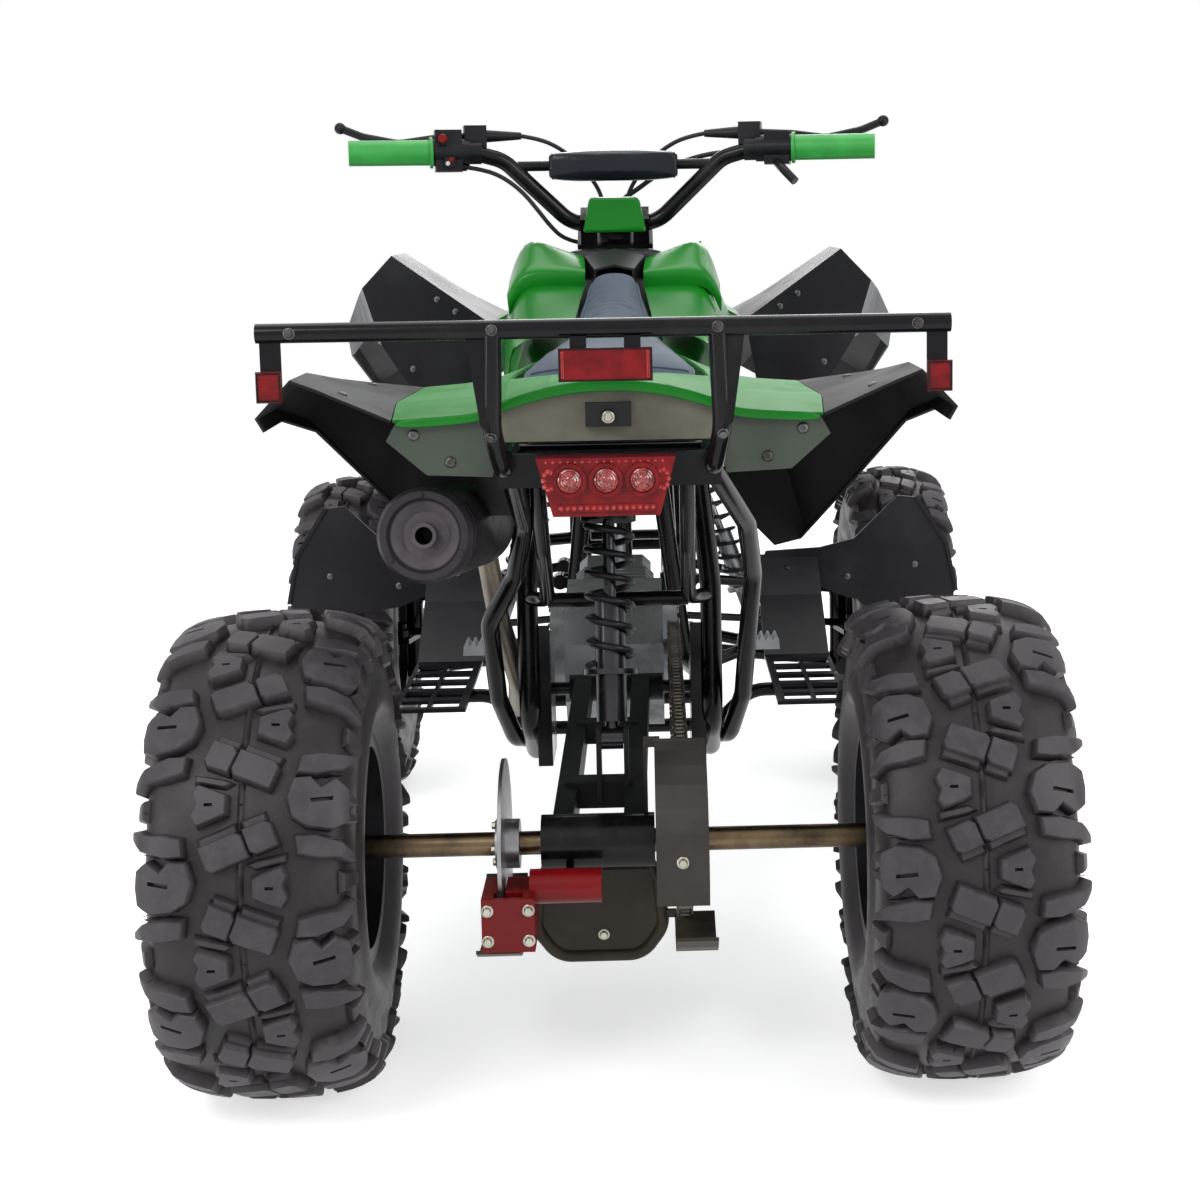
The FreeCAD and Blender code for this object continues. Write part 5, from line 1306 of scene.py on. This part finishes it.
def rounded_prism(name, corners, near, away, soft=6):
    """A block through the given (side, height) corners, rounded at every edge."""
    rings = []
    for station, shrink in ((near, soft * 0.6), (near + soft * 0.4, soft * 0.15), (near + soft, 0),
                            (away - soft, 0), (away - soft * 0.4, soft * 0.15), (away, soft * 0.6)):
        outline = moved_out(corners, -shrink)
        ring = []
        for number, (x, z) in enumerate(outline):
            before, after = outline[number - 1], outline[(number + 1) % len(outline)]
            for (ox, oz), sharp in ((before, 1), (before, 0.35), (after, 0.35), (after, 1)):
                long = math.hypot(ox - x, oz - z)
                pull = soft * sharp / long
                inward = soft * 0.25 * (1 - sharp)
                mid_x = sum(p[0] for p in outline) / len(outline)
                mid_z = sum(p[1] for p in outline) / len(outline)
                reach = math.hypot(mid_x - x, mid_z - z)
                ring.append((x + (ox - x) * pull + (mid_x - x) / reach * inward,
                             z + (oz - z) * pull + (mid_z - z) / reach * inward))
        rings.append([at(px, station, pz) for px, pz in ring])
    return smooth(ringed(name, rings), 32)


COVER_CORNERS = [(-43.5, 892.5), (43.5, 892.5), (34, 940.5), (-34, 940.5)]
cover = rounded_prism("bar_cover_shell", COVER_CORNERS, 701, 730.5)
hand_over(cover, BODY_OF["bar_cover"], "green_plastic", "bar_cover")

COWL_LINE = [(0, 872), (40, 872), (62, 870), (84, 858), (92, 815)]
COWL_ROWS = ((650, 0.97, 40), (656, 0.99, 18), (665, 1.0, 1), (690, 1.0, 0), (702, 0.97, 6))
across = [(-x, z) for x, z in COWL_LINE[:0:-1]] + COWL_LINE
cowl = shell_of("stem_cowl", [[at(x * wide, station, z - drop) for x, z in across]
                              for station, wide, drop in COWL_ROWS], 3)
hand_over(cowl, "chassis", "black_plastic")
print("cover", len(cover.data.polygons), "cowl", len(cowl.data.polygons))

# %% [markdown]
# The rear fender ends in a rolled green lip: a narrow band that hangs from its edge and follows it
# from wing to wing. Its section is swept along the edge's own points, so that it stays on it.

# %% Rolled lip
LIP_HALF = [(0, 748), (25, 747.5), (60, 743), (102, 731), (116, 723), (130, 717), (172, 714), (215, 712)]
LIP_LINE = [(-x, z) for x, z in LIP_HALF[:0:-1]] + LIP_HALF


def make_lip():
    rings = []
    for x, z in LIP_LINE:
        tall = 11 if abs(x) < 110 else 9
        section = ((0, 0.6), (2.0, 1.0), (3.6, -0.4), (4.2, -3), (4.0, -tall + 2), (2.8, -tall),
                   (0.8, -tall), (0, -tall + 2))
        rings.append([at(x, -56.4 - deep, z + up) for deep, up in section])
    return rounded(ringed("fender_lip", rings), 2)


lip = smooth(make_lip(), 60)
hand_over(lip, BODY_OF["rear_fender"], "green_plastic")
print("lip", len(lip.data.polygons))

# %% [markdown]
# Bolts: a hexagon head on a washer, a domed trim screw and a wheel nut, each one template. Their
# places could be typed in, but a head would then float or sink. A ray on the panel finds the spot
# and its slope, so that each head sits flat on its panel.

# %% Bolts and screws
FINISHES["bolt"] = bare_metal("dark_bolt", (0.10, 0.10, 0.10), (0.04, 0.035, 0.03), 0.3, (300, 300, 300))
FINISHES["plated_bolt"] = bare_metal("plated_bolt", (0.42, 0.40, 0.34), (0.22, 0.20, 0.16), 0.24,
                                     (300, 300, 300))
washer_head = lathe("washer_head", [(0, -1.5), (8.0, -1.5), (8.0, 0.9), (7.0, 1.6), (5.6, 1.6)], 18)
hexagon = lathe("hexagon", [(5.8, 1.0), (5.8, 5.6), (5.0, 6.4), (0, 6.4)], 6)
hex_bolt = joined("hex_bolt", [washer_head, hexagon])
trim_screw = lathe("trim_screw", [(0, -1.5), (6.5, -1.5), (6.5, 0.8), (5.6, 2.0), (3.2, 2.8), (2.0, 2.8),
                                  (1.6, 1.6), (0, 1.6)], 16)
stud = lathe("stud", [(0, -2), (9.0, -2), (9.0, 1), (7.2, 3), (6.8, 12), (5.6, 13.5), (4, 13.5), (4, 17),
                      (0, 17.5)], 6)
surface_trees = {}


def struck(node, start, toward):
    """Where a ray meets a CAD node, and which way the surface faces there."""
    if node not in surface_trees:
        mesh = nodes[node].data
        surface_trees[node] = BVHTree.FromPolygons([v.co for v in mesh.vertices],
                                                   [p.vertices for p in mesh.polygons])
    toward = Vector(toward)
    place, normal, face, far = surface_trees[node].ray_cast(start, toward)
    if place is None:
        return None
    return place, -normal if normal.dot(toward) > 0 else normal


def bolted(name, body, slot, template, wanted, finish="bolt", size=1.0):
    """Copies of a bolt where rays strike their nodes."""
    hits = [hit for hit in (struck(*ray) for ray in wanted) if hit]
    heads = set_out(name, template, [(place, facing(normal), size) for place, normal in hits], finish)
    hand_over(smooth(heads, 40), body, slot)
    print(name, len(hits), "of", len(wanted))


def pairs(node, toward, *starts):
    """Rays towards a node from (side, station, height) starts, on both sides."""
    return [(node.format(name), at(side * x, station, z), toward)
            for name, side in SIDES for x, station, z in starts]


def circle(node, toward, start, radius, count, first=0.0):
    """Rays towards a node from points round a start."""
    side, station, height = start
    turns = [2 * math.pi * (k + first) / count for k in range(count)]
    return [(node, at(side, station + radius * math.cos(turn), height + radius * math.sin(turn)), toward)
            for turn in turns]


AHEAD, DOWN, RIGHT, LEFT = (0, 1, 0), (0, 0, -1), (1, 0, 0), (-1, 0, 0)
PANEL_SCREWS = (
    pairs("front_fender_{}", AHEAD, (262, 500, 800), (236, 500, 782), (300, 500, 700))
    + pairs("footwells", AHEAD, (240, 500, 402), (330, 500, 384), (430, 500, 400))
    + pairs("rear_liners", DOWN, (270, -20, 900), (258, 120, 900), (236, 240, 900))
    + pairs("nose_cowl", DOWN, (60, 1300, 1000), (96, 1180, 1000), (100, 1060, 1000)))
ENGINE_BOLTS = (circle("engine", RIGHT, (-200, 660, 328), 52, 8)
                + circle("engine", LEFT, (200, 680, 328), 52, 8))
DISC_BOLTS = (circle("brake_disc", RIGHT, (-300, 0, AXLE_HEIGHT), 20, 4)
              + circle("sprocket", LEFT, (300, 0, AXLE_HEIGHT), 40, 6))
RUNNING_BOLTS = ([("caliper", at(x, -300, z), AHEAD) for x in (-134, -92) for z in (214, 182)]
                 + [("chain_guard", at(66, -300, 262), AHEAD)]
                 + [("swingarm", at(side, station, z), toward) for side, toward in ((-200, RIGHT), (200, LEFT))
                    for station, z in ((40, 254), (430, 322))]
                 + [("skid_guard", at(x, -300, 132), AHEAD) for x in (-20, 60)])
for name, body, slot, template, rays, finish, size in (
        ("fender_screws", "chassis", "black_plastic", trim_screw,
         pairs("rear_fascia", AHEAD, (196, -300, 696), (160, -300, 668)), "bolt", 0.9),
        ("latch_pin", "chassis", "axle_steel", hex_bolt, [("rear_fascia", at(0, -300, 712), AHEAD)],
         "plated_bolt", 0.8),
        ("panel_screws", "chassis", "black_plastic", trim_screw, PANEL_SCREWS, "bolt", 0.8),
        ("engine_bolts", "chassis", "engine_metal", hex_bolt, ENGINE_BOLTS, "plated_bolt", 0.62),
        ("disc_bolts", "rear_axle", "disc_steel", hex_bolt, DISC_BOLTS, "plated_bolt", 0.7),
        ("running_bolts", "chassis", "black_steel", hex_bolt, RUNNING_BOLTS, "plated_bolt", 0.8),
        ("rack_bolts", "chassis", "black_steel", hex_bolt,
         pairs("rack", AHEAD, (300, -400, 804), (108, -400, 804), (112, -400, 700)), "bolt", 0.7)):
    bolted(name, body, slot, template, rays, finish, size)
for name, side in SIDES:
    for axle, station in (("rear", 0), ("front", WHEELBASE)):
        node = f"{axle}_rim_{name}"
        rays = circle(node, (-side, 0, 0), (side * 700, station, AXLE_HEIGHT), 40, 4, 0.5)
        bolted(f"{axle}_wheel_nuts_{name}", BODY_OF[node], "rim_metal", stud, rays, "plated_bolt", 0.9)

# %% [markdown]
# Lamps: the tail light has three round cups with ringed lenses, a flower of small facets at each
# end and rows of prisms along its head and foot. Real lenses bend light in their rings and prisms;
# small turned shapes catch the studio light in the same places and cost few faces, and their paler
# red is a painted highlight. The reflector sits in a dark frame with two bars of painted highlight.


# %% Lamps
def two_tone(name, first, second, scale, roughness, specular=0.5, edges=None):
    """Two tones in a fine cloud, with or without edges between them."""
    f = Finish(name)
    cloud = f.noise(scale, 2)
    if edges:
        cloud = cloud.step(*edges)
    FINISHES[name] = f.surface(Base_Color=f.mix(cloud, first, second), Roughness=roughness,
                               Specular_IOR_Level=specular)


two_tone("pale_red_glass", (0.36, 0.050, 0.045), (0.16, 0.012, 0.012), 260, 0.08, 0.6, (0.4, 0.6))
# Painted highlight: the paler red below stands for the light that the prisms and the reflector's edges catch.
two_tone("glint_red", (0.55, 0.075, 0.070), (0.34, 0.020, 0.022), 90, 0.12)
LAMP_FACE, LAMP_HEIGHT, TO_REAR = -100.3, 653, facing((0, -1, 0))
ringed_lens = lathe("ringed_lens", [(0, 0), (12.2, 0), (12.2, 1.6), (10.4, 2.6), (9.6, 1.9), (8.0, 3.0),
                                    (7.0, 2.3), (5.4, 3.4), (4.4, 2.7), (2.6, 3.8), (0, 4.2)], 28)
lenses = set_out("tail_lenses", ringed_lens,
                 [(at(x, LAMP_FACE - 1.8, LAMP_HEIGHT), TO_REAR, 1) for x in (-39, -3, 33)], "pale_red_glass")
hand_over(smooth(lenses, 60), "chassis", "red_lens")
facet = lathe("facet", [(0, 0), (3.0, 0), (1.2, 2.2), (0, 2.4)], 5)
spots = []
for side, middle_x in ((-1, -60), (1, 54)):
    for k in range(7):
        turn = math.radians(40 * k - 120 + (180 if side < 0 else 0))
        across, height = middle_x + 5.5 * math.cos(turn) - side, LAMP_HEIGHT + 9 * math.sin(turn)
        spots.append((at(across, LAMP_FACE, height), TO_REAR, 1.0))
spots += [(at(-48 + k * 6.5, LAMP_FACE - 3, 625.5), TO_REAR, 0.9) for k in range(15)]
spots += [(at(-62 + k * 7.2, LAMP_FACE, 671), TO_REAR, 0.55) for k in range(17)]
hand_over(set_out("tail_facets", facet, spots, "glint_red"), "chassis", "red_lens")


def frame_round(name, low_x, high_x, low_z, high_z, station, wide, deep):
    """A rectangular frame with bevelled bars, in front of a flat lens."""
    section = ((0, 0), (0, deep * 0.6), (wide * 0.3, deep), (wide * 0.8, deep), (wide, deep * 0.5),
               (wide, 0))
    corners = ((low_x, low_z, -1, -1), (high_x, low_z, 1, -1), (high_x, high_z, 1, 1),
               (low_x, high_z, -1, 1))
    rings = [[at(x + out_x * step, station - rise, z + out_z * step) for step, rise in section]
             for x, z, out_x, out_z in corners]
    return outwards(woven(name, rings, loop=True))


frames = [frame_round("frame", -43.5, 43.5, 755.5, 784.5, -148, 1.6, 2.2)]
frames += [frame_round("frame", side - 10, side + 10, 740.5, 765.5, -140, 1.6, 2.0) for side in (-322, 322)]
hand_over(joined("reflector_frames", frames), "chassis", "black_plastic")
# The two thin bars in the paler red are painted highlights along the reflector's inner edges.
bars = [frame_round("bar", x, x + 0.6, 758, 782, -148.1, 1.1, 0.9) for x in (-41.5, 40.5)]
bars_piece = joined("reflector_bars", bars)
bars_piece.data.materials.append(FINISHES["glint_red"])
hand_over(bars_piece, "chassis", "red_lens")
print("facets", len(spots), "frames", len(frames))

# %% [markdown]
# Buttons: a red stop button and a small one below it, and a white slider, on the left switch box.
# All three are one turned shape in three sizes. They are placed along the grip's own line, so
# that they stay on the box.

# %% Buttons
GRIP_LINE, GRIP_AHEAD = Vector((0.98816, -0.15344, 0)), Vector((0.15344, 0.98816, 0))
BAR_TIP, BUTTON_TURN = at(351, 687, 1003), facing((-0.15, -1, 0))


def on_left_bar(inboard, front, rise):
    """A point beside the left grip: its distance in from the bar's end, ahead of it and above it."""
    spot = BAR_TIP - GRIP_LINE * inboard * MM + GRIP_AHEAD * front * MM + Vector((0, 0, rise * MM))
    return Vector((-spot.x, spot.y, spot.z))


two_tone("white_switch", (0.62, 0.60, 0.58), (0.5, 0.48, 0.46), 80, 0.35)
button = lathe("button", [(0, -1), (6.2, -1), (6.2, 2.0), (5.2, 3.2), (0, 3.4)], 20)
for name, places, finish, slot in (
        ("stop_button", ((122, -20, 18, 1), (133, -20.4, -10, 0.55)), "red_paint", "red_paint"),
        ("slider", ((128, -20.2, -15, 0.5),), "white_switch", "clear_lens")):
    spots = [(on_left_bar(*place), BUTTON_TURN, size) for *place, size in places]
    hand_over(smooth(set_out(name, button, spots, finish), 40), "steering", slot)
    print(name, len(spots))

# %% [markdown]
# New tyres still carry the thin rubber hairs of their mould. A hair system would be dropped by the
# export, so each is a tiny spike of its own. They stand on the shoulders, in rows, each turned a
# little at random from a fixed seed.

# %% Rubber hairs
HAIRS, SEED = 90, 7
hair = lathe("hair", [(0.55, 0), (0.35, 4), (0.15, 7)], 4)
for name, side in SIDES:
    for axle, (width, squeeze) in TYRE_SHAPES.items():
        node = f"{axle}_tyre_{name}"
        section, chance, centre = Section(width), random.Random(SEED), middle(node)
        spots = []
        for number in range(HAIRS):
            turn = 2 * math.pi * number / HAIRS + chance.uniform(-0.01, 0.01)
            along = (width / 2 - 10) * (1 if number % 2 else -1)
            x, r = section.at(along, -9.5)
            x2, r2 = section.at(along, 4)
            spin = Vector((0, math.sin(turn), math.cos(turn)))
            base = centre + Vector((x, 0, 0)) * MM + spin * r * MM
            lean = Vector((x2 - x + chance.uniform(-2, 2), 0, 0)) + spin * (r2 - r)
            spots.append((base, facing(lean), chance.uniform(0.8, 1.3)))
        hand_over(set_out(f"{node}_hairs", hair, spots, "tyre"), BODY_OF[node], "tyre")
for template in (hex_bolt, trim_screw, stud, ringed_lens, facet, button, hair):
    bpy.data.objects.remove(template)
print("hairs", HAIRS, "on each tyre")

# %% [markdown]
